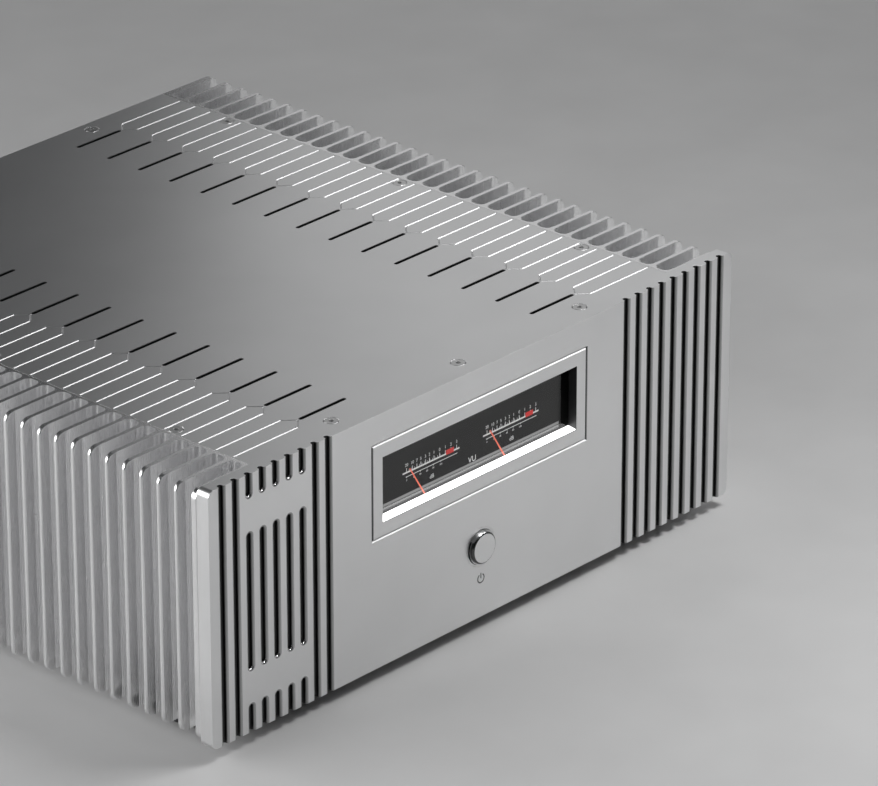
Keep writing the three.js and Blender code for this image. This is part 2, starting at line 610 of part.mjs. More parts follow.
function xlrInput(sign) {
  const x = sign * INPUT_X;
  const { halfWidth, halfHeight, corner, wall } = XLR;
  const shape = roundedRectangle(
    x - halfWidth, x + halfWidth, INPUT_Z - halfHeight, INPUT_Z + halfHeight, corner);
  const flange = carriedBack(shape, FLANGE_FRONT, FLANGE_BACK);
  const along = (radius, y0, y1, segments, dx = 0, dz = 0) =>
    roundAlongY(radius, y0, y1, x + dx, INPUT_Z + dz, segments);
  const barrel = along(SOCKET_HOLE - RUNNING_GAP, REAR_FRONT - XLR.depth, FLANGE_BACK, 20);
  const mouth = along(SOCKET_HOLE - wall, REAR_FRONT - XLR.mouthDepth, FLANGE_BACK + OVERCUT, 20);
  const pins = [90, 210, 330].map((degrees) => {
    const turn = THREE.MathUtils.degToRad(degrees);
    const [dx, dz] = [XLR_PIN.circle * Math.cos(turn), XLR_PIN.circle * Math.sin(turn)];
    return along(XLR_PIN.radius, REAR_FRONT - XLR_PIN.length, FLANGE_BACK - XLR_PIN.recess, 8, dx, dz);
  });
  const shell = solidOf(join(flange, barrel)).subtract(solidOf(mouth));
  return geometryOf(shell.add(unite(pins)));
}
add("xlr_input_left", xlrInput(-1), BLACK_STEEL);
add("xlr_input_right", xlrInput(1), BLACK_STEEL);

const RCA = { radius: 4.1, proud: 9, bore: 1.6, inside: 10, margin: 11, corner: 3 };

function rcaInputs() {
  const edge = RCA_STEP / 2 + RCA.margin;
  const shape = roundedRectangle(-edge, edge, RCA_Z - RCA.margin, RCA_Z + RCA.margin, RCA.corner);
  const plate = carriedBack(shape, FLANGE_FRONT, FLANGE_BACK);
  const xs = [-RCA_STEP / 2, RCA_STEP / 2];
  const end = FLANGE_BACK + RCA.proud;
  const sockets = xs.flatMap((x) => [
    roundAlongY(POST_HOLE - INSULATOR_GAP, REAR_FRONT - RCA.inside, FLANGE_BACK, x, RCA_Z, 16),
    roundAlongY(RCA.radius, FLANGE_FRONT, end, x, RCA_Z, 16),
  ]);
  const mouths = xs.map((x) => roundAlongY(RCA.bore, FLANGE_BACK, end + OVERCUT, x, RCA_Z, 10));
  return cut(join(plate, ...sockets), mouths);
}
add("rca_inputs", rcaInputs(), PLATED_BRASS);

// ---- Mains inlet with its rocker switch above the socket ----
const ROCKER_Z = MAINS_Z + 15;
const ROCKER = { width: 19, height: 13, reach: 4, rootHeight: 6, dish: 1 };
const ROCKER_TILT = THREE.MathUtils.degToRad(8);
const ROCKER_WELL = { width: ROCKER.width + 1, height: ROCKER.height + 3, depth: 12 };
const SOCKET_Z = MAINS_Z - 10;
const SOCKET = { width: 24, height: 17, backWall: 6 };
const PIN = { width: 2, height: 4, sideStep: 7, earthRise: 2, recess: 5 };
const MAINS_INNER = REAR_FRONT - 24;

function mainsInlet() {
  const { width, height, lip } = MAINS;
  const [low, high] = [MAINS_Z - height / 2, MAINS_Z + height / 2];
  const shape = roundedRectangle(-width / 2, width / 2, low, high, 3);
  const flange = carriedBack(shape, FLANGE_FRONT, FLANGE_BACK);
  const clear = lip + 0.5;
  const body = block(0, width - 2 * clear, MAINS_INNER, FLANGE_BACK, low + clear, high - clear);
  const hollow = (size, y0, z) =>
    block(0, size.width, y0, FLANGE_BACK + OVERCUT, z - size.height / 2, z + size.height / 2);
  const socket = hollow(SOCKET, MAINS_INNER + SOCKET.backWall, SOCKET_Z);
  const well = hollow(ROCKER_WELL, BACK - ROCKER_WELL.depth, ROCKER_Z);
  const shell = solidOf(join(flange, body)).subtract(unite([socket, well]));
  const pins = [-1, 0, 1].map((place) => {
    const z = SOCKET_Z + (place === 0 ? PIN.earthRise : -PIN.earthRise);
    const y0 = MAINS_INNER + SOCKET.backWall / 2;
    const x = place * PIN.sideStep;
    return block(x, PIN.width, y0, FLANGE_BACK - PIN.recess, z - PIN.height / 2, z + PIN.height / 2);
  });
  return geometryOf(shell.add(unite(pins)));
}
add("mains_inlet", mainsInlet(), BLACK_PLASTIC);

// The rocker's pivot is at the origin; its face is hollowed to a shallow V and rests tilted.
function mainsRocker() {
  const half = ROCKER.height / 2;
  const halfRoot = ROCKER.rootHeight / 2;
  const { reach, dish } = ROCKER;
  const side = outline([[-reach, -halfRoot], [0, -half], [reach, -half], [reach - dish, 0],
    [reach, half], [0, half], [-reach, halfRoot]]);
  return carriedAcross(side, -ROCKER.width / 2, ROCKER.width / 2).rotateX(ROCKER_TILT);
}
add("mains_rocker", mainsRocker(), BLACK_PLASTIC, [0, BACK - 0.5, ROCKER_Z]);

// ---- Feet ----
const FOOT_X = 176;
const FOOT_INSET = 46;
const FOOT_RADIUS = 22;
const FOOT_EDGE = 2;
const PAD_RADIUS = FOOT_RADIUS - 4;
const PAD_THICKNESS = 2;

function foot() {
  const low = PAD_THICKNESS + SEAM;
  const high = BODY_BOTTOM - SEAM;
  return turnedAlongZ([[0, low], [FOOT_RADIUS - FOOT_EDGE, low], [FOOT_RADIUS, low + FOOT_EDGE],
    [FOOT_RADIUS, high], [0, high]]);
}
for (const [end, y] of [["front", FRONT + FOOT_INSET], ["rear", BACK - FOOT_INSET]]) {
  for (const [side, x] of [["left", -FOOT_X], ["right", FOOT_X]]) {
    const pad = turnedAlongZ(bar(PAD_RADIUS, 0, PAD_THICKNESS));
    add(`foot_${end}_${side}`, foot(), BLACK_STEEL, [x, y, 0]);
    add(`foot_pad_${end}_${side}`, pad, RUBBER, [x, y, 0]);
  }
}

// ---- Power supply ----
const TOROID = { radius: 72, hole: 20, height: 60, corner: 10, y: FRONT + 140 };
const TOROID_BOTTOM = BASE_TOP + SEAM;
const TOROID_TOP = TOROID_BOTTOM + TOROID.height;
const CLAMP = { radius: 52, hole: 4.5, thickness: 3 };
const BOLT = { radius: 4, head: 7, headHeight: 6 };

function toroid() {
  const { radius, hole, height, corner } = TOROID;
  const profile = new THREE.Path();
  profile.absarc(radius - corner, corner, corner, -Math.PI / 2, 0);
  profile.absarc(radius - corner, height - corner, corner, 0, Math.PI / 2);
  profile.absarc(hole + corner, height - corner, corner, Math.PI / 2, Math.PI);
  profile.absarc(hole + corner, corner, corner, Math.PI, 1.5 * Math.PI);
  profile.closePath();
  const points = profile.getPoints(ARC_STEPS).map(({ x, y }) => [x, y]);
  return turnedAlongZ(points);
}
add("toroidal_transformer", toroid(), COPPER_WOUND, [0, TOROID.y, TOROID_BOTTOM]);

function clampDisc() {
  const { radius, hole, thickness } = CLAMP;
  const low = TOROID_TOP + SEAM;
  const high = low + thickness;
  return turnedAlongZ([[hole, low], [radius, low], [radius, high], [hole, high], [hole, low]]);
}
add("transformer_clamp", clampDisc(), BLACK_STEEL, [0, TOROID.y, 0]);

function transformerBolt() {
  const seat = TOROID_TOP + SEAM + CLAMP.thickness + SEAM;
  const { radius, head, headHeight } = BOLT;
  return turnedAlongZ([[0, TOROID_BOTTOM], [radius, TOROID_BOTTOM], [radius, seat], [head, seat],
    [head, seat + headHeight], [0, seat + headHeight]], 12);
}
add("transformer_bolt", transformerBolt(), BRIGHT_ALUMINIUM, [0, TOROID.y, 0]);

const SUPPLY_BOARD = { width: 240, y0: FRONT + 228, y1: FRONT + 300, low: BASE_TOP + 8, thickness: 1.6 };
const SPACER = { radius: 3, inset: 6, into: 0.5 };
const CAPACITOR = { radius: 25, height: 95, edge: 2, step: 58 };
const CAPACITORS = 4;

function supplyBoard() {
  const { width, y0, y1, low, thickness } = SUPPLY_BOARD;
  const board = block(0, width, y0, y1, low, low + thickness);
  const spacer = turnedAlongZ(bar(SPACER.radius, BASE_TOP + SEAM, low + SPACER.into), 8);
  const spacers = bothSides((side) =>
    [y0 + SPACER.inset, y1 - SPACER.inset].map((y) =>
      spacer.clone().translate(side * (width / 2 - SPACER.inset), y, 0)));
  return join(board, ...spacers);
}
add("power_supply_board", supplyBoard(), BOARD_GREEN);

function capacitor() {
  const { radius, height, edge } = CAPACITOR;
  return turnedAlongZ([[0, 0], [radius, 0], [radius, height - edge], [radius - edge, height],
    [0, height]], 20);
}
for (let i = 0; i < CAPACITORS; i += 1) {
  const x = (i - (CAPACITORS - 1) / 2) * CAPACITOR.step;
  const y = (SUPPLY_BOARD.y0 + SUPPLY_BOARD.y1) / 2;
  const z = SUPPLY_BOARD.low + SUPPLY_BOARD.thickness + SEAM;
  add(`reservoir_capacitor_${i + 1}`, capacitor(), CAP_SLEEVE, [x, y, z]);
}

// ---- Amplifier boards, each with a row of output transistors against its heatsink ----
const AMP_BOARD = { x: 142, thickness: 1.6, y0: FRONT + 90, y1: FRONT + 370, low: 34, high: 134 };
const TRANSISTOR = { count: 5, width: 16, low: 60, high: 84 };

function ampBoard(sign) {
  const { x, thickness, y0, y1, low, high } = AMP_BOARD;
  const board = block(sign * x, thickness, y0, y1, low, high);
  const reach = SINK_INNER - SEAM - x;
  const step = (y1 - y0) / TRANSISTOR.count;
  const half = TRANSISTOR.width / 2;
  const devices = Array.from({ length: TRANSISTOR.count }, (_, i) => {
    const y = y0 + (i + 0.5) * step;
    return block(sign * (x + reach / 2), reach, y - half, y + half, TRANSISTOR.low, TRANSISTOR.high);
  });
  return join(board, ...devices);
}
add("amp_board_left", ampBoard(-1), BOARD_GREEN);
add("amp_board_right", ampBoard(1), BOARD_GREEN);

export default amplifier;
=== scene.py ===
"""Looks of a stereo power amplifier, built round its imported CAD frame.

Lengths in this file are millimetres; loft() turns them into metres.
X points right as seen from the front, Y from the front to the back, Z up from the table.
"""
import math

import bmesh
import bpy
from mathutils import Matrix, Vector


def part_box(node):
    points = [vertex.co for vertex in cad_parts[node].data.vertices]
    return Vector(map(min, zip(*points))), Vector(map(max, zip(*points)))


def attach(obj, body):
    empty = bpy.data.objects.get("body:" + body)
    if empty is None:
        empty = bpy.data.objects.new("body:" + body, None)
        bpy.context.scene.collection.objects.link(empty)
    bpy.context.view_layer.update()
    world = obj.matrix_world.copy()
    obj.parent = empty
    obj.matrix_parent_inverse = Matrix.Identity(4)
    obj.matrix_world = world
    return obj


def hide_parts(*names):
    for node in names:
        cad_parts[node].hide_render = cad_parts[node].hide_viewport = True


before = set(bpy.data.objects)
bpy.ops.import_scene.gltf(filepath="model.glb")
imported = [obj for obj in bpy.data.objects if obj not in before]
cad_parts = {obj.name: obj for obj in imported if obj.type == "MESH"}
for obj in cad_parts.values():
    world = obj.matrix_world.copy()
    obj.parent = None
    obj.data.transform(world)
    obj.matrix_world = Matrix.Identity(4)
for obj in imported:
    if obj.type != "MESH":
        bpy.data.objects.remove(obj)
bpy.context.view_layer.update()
MM = 0.001


def box_mm(node):
    """Lowest and highest corner of a CAD node, in millimetres."""
    low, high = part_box(node)
    return low / MM, high / MM


def centre_mm(node):
    """Middle of a CAD node's box, in millimetres."""
    low, high = box_mm(node)
    return (low + high) / 2


# ---------------------------------------------------------------- places from the frame
PANEL_LOW, PANEL_HIGH = box_mm("front_panel")
COVER_LOW, COVER_HIGH = box_mm("top_cover")
BASE_HIGH = box_mm("bottom_plate")[1]
SINK_LOW, SINK_HIGH = box_mm("heatsink_right")
BEZEL_LOW, BEZEL_HIGH = box_mm("meter_bezel")
GLASS_LOW, GLASS_HIGH = box_mm("meter_glass")
DIAL_LOW, DIAL_HIGH = box_mm("meter_dial_plate")
BUTTON_LOW, BUTTON_HIGH = box_mm("power_button")
REAR_HIGH = box_mm("rear_panel")[1]
FRONT = PANEL_LOW.y
PANEL_BACK = PANEL_HIGH.y
BACK = COVER_HIGH.y
SIDE = PANEL_HIGH.x
BUTTON_Z = centre_mm("power_button").z
BUTTON_RADIUS = (BUTTON_HIGH.x - BUTTON_LOW.x) / 2
SEAM = 0.1
PAST = 10

# ---------------------------------------------------------------- mesh helpers
AXIS_ORDER = {"X": (2, 0, 1), "Y": (0, 2, 1), "Z": (0, 1, 2)}


def point(axis, a, b, along):
    """A point from two coordinates across an axis, in X, Y, Z order, and one along it."""
    values = (a, b, along)
    return tuple(values[i] for i in AXIS_ORDER[axis])


def new_object(name, mesh):
    """An object in the scene for a mesh, curve, lamp or camera."""
    obj = bpy.data.objects.new(name, mesh)
    bpy.context.scene.collection.objects.link(obj)
    return obj


def loft(name, rings, hollow=False):
    """Skins a row of rings that have the same number of points. A hollow one closes on itself."""
    bm = bmesh.new()
    loops = [[bm.verts.new(Vector(p) * MM) for p in ring] for ring in rings]
    pairs = list(zip(loops, loops[1:]))
    if hollow:
        pairs.append((loops[-1], loops[0]))
    else:
        bm.faces.new(loops[0])
        bm.faces.new(loops[-1])
    for near, far in pairs:
        for i, corner in enumerate(near):
            j = (i + 1) % len(near)
            bm.faces.new((corner, near[j], far[j], far[i]))
    bmesh.ops.recalc_face_normals(bm, faces=bm.faces[:])
    mesh = bpy.data.meshes.new(name)
    bm.to_mesh(mesh)
    bm.free()
    return new_object(name, mesh)


def prism(name, outline, start, end, axis="Z"):
    """An outline of (a, b) points carried along an axis."""
    return loft(name, [[point(axis, a, b, along) for a, b in outline] for along in (start, end)])


def block(name, low, high):
    """A box between two corners."""
    outline = [(low[0], low[1]), (high[0], low[1]), (high[0], high[1]), (low[0], high[1])]
    return prism(name, outline, low[2], high[2])


def circle(radius, centre=(0, 0), steps=48):
    """Points round a circle."""
    turns = [2 * math.pi * i / steps for i in range(steps)]
    return [(centre[0] + radius * math.cos(t), centre[1] + radius * math.sin(t)) for t in turns]


def arc(centre, radius, start, end, steps):
    """Points along an arc from one angle to another, in degrees, both ends included."""
    turns = [math.radians(start + (end - start) * i / steps) for i in range(steps + 1)]
    return [(centre[0] + radius * math.cos(t), centre[1] + radius * math.sin(t)) for t in turns]


def rounded_rectangle(low, high, radius, steps=8):
    """Outline between two corners with every corner rounded."""
    (x0, z0), (x1, z1) = low, high
    corners = [(x1, z0, -1, 1, -90), (x1, z1, -1, -1, 0), (x0, z1, 1, -1, 90), (x0, z0, 1, 1, 180)]
    points = []
    for x, z, in_x, in_z, angle in corners:
        points += arc((x + in_x * radius, z + in_z * radius), radius, angle, angle + 90, steps)
    return points


def turned(name, profile, axis="Y", centre=(0, 0), steps=48, hollow=False):
    """A solid of revolution from (radius, place along the axis) pairs."""
    rings = [[point(axis, a, b, along) for a, b in circle(radius, centre, steps)]
             for radius, along in profile]
    return loft(name, rings, hollow)


def bake(obj):
    """Turns the object's modifiers into mesh."""
    graph = bpy.context.evaluated_depsgraph_get()
    mesh = bpy.data.meshes.new_from_object(obj.evaluated_get(graph))
    obj.modifiers.clear()
    obj.data = mesh


def carve(target, cutter, operation="DIFFERENCE"):
    """Cuts, joins or intersects two closed meshes and removes the second one."""
    modifier = target.modifiers.new("carve", "BOOLEAN")
    modifier.operation = operation
    modifier.solver = "MANIFOLD"
    modifier.material_mode = "TRANSFER"
    modifier.object = cutter
    bake(target)
    bpy.data.objects.remove(cutter)
    return target


def merged(name, objects):
    """One object from several that don't touch."""
    bm = bmesh.new()
    for obj in objects:
        obj.data.transform(obj.matrix_world)
        bm.from_mesh(obj.data)
        bpy.data.objects.remove(obj)
    mesh = bpy.data.meshes.new(name)
    bm.to_mesh(mesh)
    bm.free()
    return new_object(name, mesh)


def moved_copies(obj, shifts):
    """Copies of an object's mesh moved by each shift, as separate objects; the first is removed."""
    copies = []
    for shift in shifts:
        mesh = obj.data.copy()
        mesh.transform(obj.matrix_world)
        for vertex in mesh.vertices:
            vertex.co += Vector(shift) * MM
        copies.append(new_object(obj.name, mesh))
    bpy.data.objects.remove(obj)
    return copies


def mirrored(obj, name):
    """A copy of the object reflected left to right."""
    mesh = obj.data.copy()
    for vertex in mesh.vertices:
        vertex.co.x = -vertex.co.x
    mesh.flip_normals()
    return new_object(name, mesh)


def paint(obj, material, chosen):
    """Gives the faces that pass a test of their middle, in millimetres, and normal one more material."""
    obj.data.materials.append(material)
    index = len(obj.data.materials) - 1
    for face in obj.data.polygons:
        if chosen(face.center / MM, face.normal):
            face.material_index = index


def soften(obj, width, limit=50, segments=2):
    """Small machined edges and clean shading on every corner sharper than the limit."""
    obj.data.shade_smooth()
    obj.data.set_sharp_from_angle(angle=math.radians(30))
    if width:
        bevel = obj.modifiers.new("edges", "BEVEL")
        bevel.width = width * MM
        bevel.segments = segments
        bevel.limit_method = "ANGLE"
        bevel.angle_limit = math.radians(limit)
    normals = obj.modifiers.new("normals", "WEIGHTED_NORMAL")
    normals.keep_sharp = True
    return obj


# ---------------------------------------------------------------- materials
def shadowed(material, name, axis, start, end, least, most=1):
    """A copy of a finish with painted shade: its colour fades, between two places along an axis, from most
    to least of itself.
    """
    deep = material.copy()
    deep.name = name
    tree = deep.node_tree
    shader = tree.nodes["Principled BSDF"]
    place = tree.nodes.new("ShaderNodeTexCoord")
    split = tree.nodes.new("ShaderNodeSeparateXYZ")
    tree.links.new(place.outputs["Object"], split.inputs["Vector"])
    fade = tree.nodes.new("ShaderNodeMapRange")
    fade.inputs["From Min"].default_value = start * MM
    fade.inputs["From Max"].default_value = end * MM
    fade.inputs["To Min"].default_value = most
    fade.inputs["To Max"].default_value = least
    tree.links.new(split.outputs[axis], fade.inputs["Value"])
    painted_shade = tree.nodes.new("ShaderNodeVectorMath")
    painted_shade.operation = "SCALE"
    tree.links.new(shader.inputs["Base Color"].links[0].from_socket, painted_shade.inputs[0])
    tree.links.new(fade.outputs["Result"], painted_shade.inputs["Scale"])
    tree.links.new(painted_shade.outputs["Vector"], shader.inputs["Base Color"])
    return deep


def link_value(tree, source, target, low, high):
    """Feeds a 0 to 1 value into a socket, stretched to run from low to high."""
    stretch = tree.nodes.new("ShaderNodeMapRange")
    stretch.inputs["To Min"].default_value = low
    stretch.inputs["To Max"].default_value = high
    tree.links.new(source, stretch.inputs["Value"])
    tree.links.new(stretch.outputs["Result"], target)


def noise(tree, size_mm, stretch=(1, 1, 1), detail=3):
    """Noise whose blotches are about size_mm across, drawn out along the axes with a high stretch."""
    place = tree.nodes.new("ShaderNodeTexCoord")
    scale = tree.nodes.new("ShaderNodeMapping")
    scale.inputs["Scale"].default_value = [1 / factor for factor in stretch]
    texture = tree.nodes.new("ShaderNodeTexNoise")
    texture.inputs["Scale"].default_value = 1 / (size_mm * MM)
    texture.inputs["Detail"].default_value = detail
    tree.links.new(place.outputs["Object"], scale.inputs["Vector"])
    tree.links.new(scale.outputs["Vector"], texture.inputs["Vector"])
    return texture.outputs["Fac"]


def surface(name, colour, roughness, metallic=0.0, grain_mm=0.5, stretch=(1, 1, 1), bump=0.02,
            rough_spread=0.06, tone_spread=0.06, tone_mm=60, coat=0.0):
    """A finish with fine grain in its height and roughness and a slow drift in its tone."""
    material = bpy.data.materials.new(name)
    material.use_nodes = True
    tree = material.node_tree
    shader = tree.nodes["Principled BSDF"]
    shader.inputs["Metallic"].default_value = metallic
    shader.inputs["Coat Weight"].default_value = coat
    grain = noise(tree, grain_mm, stretch)
    link_value(tree, grain, shader.inputs["Roughness"], roughness - rough_spread, roughness + rough_spread)
    drift = noise(tree, tone_mm, (1, 1, 1), 2)
    tone = tree.nodes.new("ShaderNodeMix")
    tone.data_type = "RGBA"
    tone.inputs["A"].default_value = [c * (1 - tone_spread) for c in colour] + [1]
    tone.inputs["B"].default_value = [min(1, c * (1 + tone_spread)) for c in colour] + [1]
    tree.links.new(drift, tone.inputs["Factor"])
    tree.links.new(tone.outputs["Result"], shader.inputs["Base Color"])
    height = tree.nodes.new("ShaderNodeBump")
    height.inputs["Strength"].default_value = 1
    height.inputs["Distance"].default_value = bump * MM
    tree.links.new(grain, height.inputs["Height"])
    tree.links.new(height.outputs["Normal"], shader.inputs["Normal"])
    return material


def glowing(material, colour, low, high):
    """Makes a finish give off light of its own, with faint streaks from side to side."""
    tree = material.node_tree
    shader = tree.nodes["Principled BSDF"]
    shader.inputs["Emission Color"].default_value = (*colour, 1)
    link_value(tree, noise(tree, 4, (10, 1, 1)), shader.inputs["Emission Strength"], low, high)
    return material


def dull(material):
    """Takes most of the shine off a finish."""
    shader = material.node_tree.nodes["Principled BSDF"]
    shader.inputs["Specular IOR Level"].default_value = 0.05
    return material


def window_glass():
    """A clear pane that mirrors what lies in front of it and shows what lies behind."""
    material = bpy.data.materials.new("smoked_glass")
    material.use_nodes = True
    tree = material.node_tree
    tree.nodes.remove(tree.nodes["Principled BSDF"])
    output = tree.nodes["Material Output"]
    clear = tree.nodes.new("ShaderNodeBsdfTransparent")
    clear.inputs["Color"].default_value = (0.88, 0.88, 0.88, 1)
    gloss = tree.nodes.new("ShaderNodeBsdfGlossy")
    link_value(tree, noise(tree, 30), gloss.inputs["Roughness"], 0.01, 0.035)
    fresnel = tree.nodes.new("ShaderNodeFresnel")
    fresnel.inputs["IOR"].default_value = 1.45
    side = tree.nodes.new("ShaderNodeNewGeometry")
    front_only = tree.nodes.new("ShaderNodeMath")
    front_only.operation = "SUBTRACT"
    front_only.use_clamp = True
    tree.links.new(fresnel.outputs["Fac"], front_only.inputs[0])
    tree.links.new(side.outputs["Backfacing"], front_only.inputs[1])
    blend = tree.nodes.new("ShaderNodeMixShader")
    tree.links.new(front_only.outputs["Value"], blend.inputs["Fac"])
    tree.links.new(clear.outputs["BSDF"], blend.inputs[1])
    tree.links.new(gloss.outputs["BSDF"], blend.inputs[2])
    tree.links.new(blend.outputs["Shader"], output.inputs["Surface"])
    return material


ALUMINIUM = (0.88, 0.882, 0.885)
WHITE = (1, 1, 1)
satin = surface("satin_aluminium", ALUMINIUM, 0.34, 1, grain_mm=0.35, bump=0.006)
fin_metal = surface("finned_aluminium", (0.96, 0.96, 0.965), 0.26, 1, grain_mm=0.5,
                    stretch=(1, 1, 40), bump=0.01, tone_spread=0.03)
# A shinier, lighter aluminium: the real finish of bolts, pins and can tops, and a painted highlight on the
# button's upper side and at the grooves' feet.
polish_and_painted_highlight = surface("bright_aluminium", (0.9, 0.9, 0.9), 0.2, 1, grain_mm=0.3, bump=0.003)
screw_steel = surface("screw_steel", (0.68, 0.68, 0.68), 0.33, 1, grain_mm=0.3, bump=0.004)
black_paint = surface("black_steel", (0.018, 0.018, 0.019), 0.5, 0, grain_mm=0.4, bump=0.03)
black_plastic = surface("black_plastic", (0.015, 0.015, 0.016), 0.42, 0, grain_mm=0.6, bump=0.02)
# Painted glow: the near-black card gives off a faint even light of its own.
dial_card_painted_glow = dull(glowing(surface("dial_card_painted_glow", (0.001, 0.001, 0.001), 0.8, grain_mm=0.5, bump=0.0005),
                         WHITE, 0.017, 0.021))
dial_black = dull(surface("dial_black", (0.002, 0.002, 0.002), 0.8, grain_mm=0.5, bump=0.0005))
red_plastic = surface("red_plastic", (0.45, 0.02, 0.015), 0.35, 0, grain_mm=0.6, bump=0.015)
# Painted glow: the red needles give off light of their own.
needle_red = glowing(surface("needle_red", (0.9, 0.2, 0.12), 0.4, grain_mm=0.4, bump=0.003),
                     (1, 0.2, 0.12), 0.5, 0.7)
# Painted glow: near-black strips that give off light, strongly for the rails and faintly for the lines
# under them.
rail_painted_glow = glowing(surface("dial_rail_painted_glow", (0.03, 0.03, 0.03), 0.7, grain_mm=0.5, bump=0.002),
                    WHITE, 0.27, 0.33)
rail_line_painted_glow = glowing(surface("dial_rail_line_painted_glow", (0.01, 0.01, 0.01), 0.7, grain_mm=0.5, bump=0.002),
                    WHITE, 0.1, 0.13)
# Painted shade: a dark copy of the button's metal for its side and shoulder.
button_side_painted_shade = surface("button_side_painted_shade", (0.11, 0.11, 0.11), 0.18, 1, grain_mm=0.3,
                      stretch=(1, 20, 1), bump=0.003)
# White and red print in their own colours with a painted glow on top; the same glowing white is used for a
# phono socket's ring.
white_painted_glow = glowing(surface("dial_print_painted_glow", (0.85, 0.85, 0.84), 0.5, grain_mm=0.3, bump=0.002),
                     WHITE, 0.4, 0.5)
red_print_painted_glow = glowing(surface("dial_red_print_painted_glow", (0.7, 0.03, 0.03), 0.5, grain_mm=0.3, bump=0.002),
                   (1, 0.05, 0.04), 0.4, 0.5)
engraved = surface("engraved_mark", (0.12, 0.12, 0.12), 0.5, 0.5, grain_mm=0.3, bump=0.002)
rubber = surface("rubber", (0.012, 0.012, 0.012), 0.85, 0, grain_mm=0.3, bump=0.04)
winding = surface("copper_winding", (0.55, 0.2, 0.06), 0.35, 0.4, grain_mm=1.2,
                  stretch=(1, 1, 12), bump=0.2)
board_green = surface("circuit_board", (0.015, 0.09, 0.04), 0.4, 0, grain_mm=2, bump=0.03,
                      tone_spread=0.3, tone_mm=5)
sleeve_blue = surface("capacitor_sleeve", (0.02, 0.03, 0.08), 0.25, 0, grain_mm=0.8,
                      stretch=(1, 1, 6), bump=0.02)
gold = surface("plated_brass", (0.75, 0.52, 0.2), 0.2, 1, grain_mm=0.3, bump=0.004)
light_white = glowing(surface("light_bar_white", (0.9, 0.91, 0.92), 0.35, grain_mm=1.5, stretch=(8, 1, 1)),
                      WHITE, 2, 2.4)
glass = window_glass()
# Painted shade: the groove walls and rims darken with depth into the front face, down to near black.
groove_painted_shade = shadowed(satin, "groove_painted_shade", "Y", FRONT, FRONT + 1.4, 0.06, most=0.55)
# Painted shade: the sloping faces down each side of the bezel's seam darken with depth.
seam_painted_shade = shadowed(satin, "seam_painted_shade", "Y", FRONT - 0.8, FRONT + 0.6, 0.05)
# Painted shade: the walls of the ventilation slots darken with depth below the cover's top.
slot_painted_shade = shadowed(satin, "slot_painted_shade", "Z", COVER_HIGH.z - 0.1, COVER_HIGH.z - 0.8, 0.18)


def finish(obj, material, body="chassis", stands_for=()):
    """Gives a piece its material and its body, and hides the CAD nodes that it stands for."""
    if not any(obj.data.materials):
        obj.data.materials.clear()
        obj.data.materials.append(material)
    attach(obj, body)
    if stands_for:
        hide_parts(*stands_for)
    return obj


def dress(node, material, width=0.3):
    """Keeps a CAD node's own shape, with its flat faces joined up and its edges softened."""
    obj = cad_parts[node]
    obj.data.materials.clear()
    obj.data.materials.append(material)
    weld = obj.modifiers.new("weld", "WELD")
    weld.merge_threshold = 0.002 * MM
    flat = obj.modifiers.new("flat", "DECIMATE")
    flat.decimate_type = "DISSOLVE"
    flat.angle_limit = math.radians(1)
    bevel = obj.modifiers.new("edges", "BEVEL")
    bevel.width = width * MM
    bevel.segments = 2
    bevel.limit_method = "ANGLE"
    bevel.angle_limit = math.radians(50)
    return obj


# ---------------------------------------------------------------- front panel
GROOVES_PER_SIDE = 9
GROOVE_PITCH = 10.24
OUTER_GROOVE = 204.8
GROOVE_RADIUS = 1.55
GROOVE_DEPTH = 3
GROOVE_RIM = 1.4
PANEL_CORNER = 4
SEAM_CHAMFER = 0.75
POCKET_MARGIN = 2
BROKEN_GROOVES = range(2, 7)
FULL_STRETCH = (-PAST, PANEL_HIGH.z - PANEL_LOW.z + PAST)
BROKEN_STRETCHES = [(-PAST, 16.3), (38, 119), (140.9, FULL_STRETCH[1])]
SLEEVE_FLANGE = 3
SLEEVE_OUTER = box_mm("button_sleeve")[1].x - SLEEVE_FLANGE
MARK_DROP = 19.7


def groove_cutter(x, stretch):
    """A round-ended trough up the front face with a round bottom and a soft rim."""
    low = PANEL_LOW.z + stretch[0] + GROOVE_RADIUS
    high = PANEL_LOW.z + stretch[1] - GROOVE_RADIUS
    rim = GROOVE_RADIUS + GROOVE_RIM
    rows = [(rim, FRONT - 1)]
    rows += arc((rim, FRONT + GROOVE_RIM), GROOVE_RIM, -90, -180, 6)
    rows += arc((0, FRONT + GROOVE_DEPTH - GROOVE_RADIUS), GROOVE_RADIUS, 0, 80, 6)
    rings = []
    for radius, y in rows:
        outline = arc((x, high), radius, 0, 180, 12) + arc((x, low), radius, 180, 360, 12)
        rings.append([(a, y, b) for a, b in outline])
    return loft("groove", rings)


def window_ring(low, high, grow, y):
    """Four corners of a rectangle round the window at one depth."""
    x0, x1 = low.x - grow, high.x + grow
    z0, z1 = low.z - grow, high.z + grow
    return [(x0, y, z0), (x1, y, z0), (x1, y, z1), (x0, y, z1)]


def on_upright_seam(middle, normal):
    """True for the sloping faces of the line down each side of the meter bezel."""
    near = abs(abs(middle.x) - BEZEL_HIGH.x) < SEAM_CHAMFER + 2 * SEAM
    return near and FRONT < middle.y < FRONT + SEAM_CHAMFER and abs(normal.x) > 0.5


def groove_foot_highlight(middle, normal):
    """True for the rounded rim at the lower end of a groove, where it faces up and forward and takes a
    painted highlight.
    """
    on_rim = abs(middle.x) > BEZEL_HIGH.x + PAST and FRONT < middle.y < FRONT + GROOVE_RIM
    return on_rim and 0.3 < normal.z < 0.98


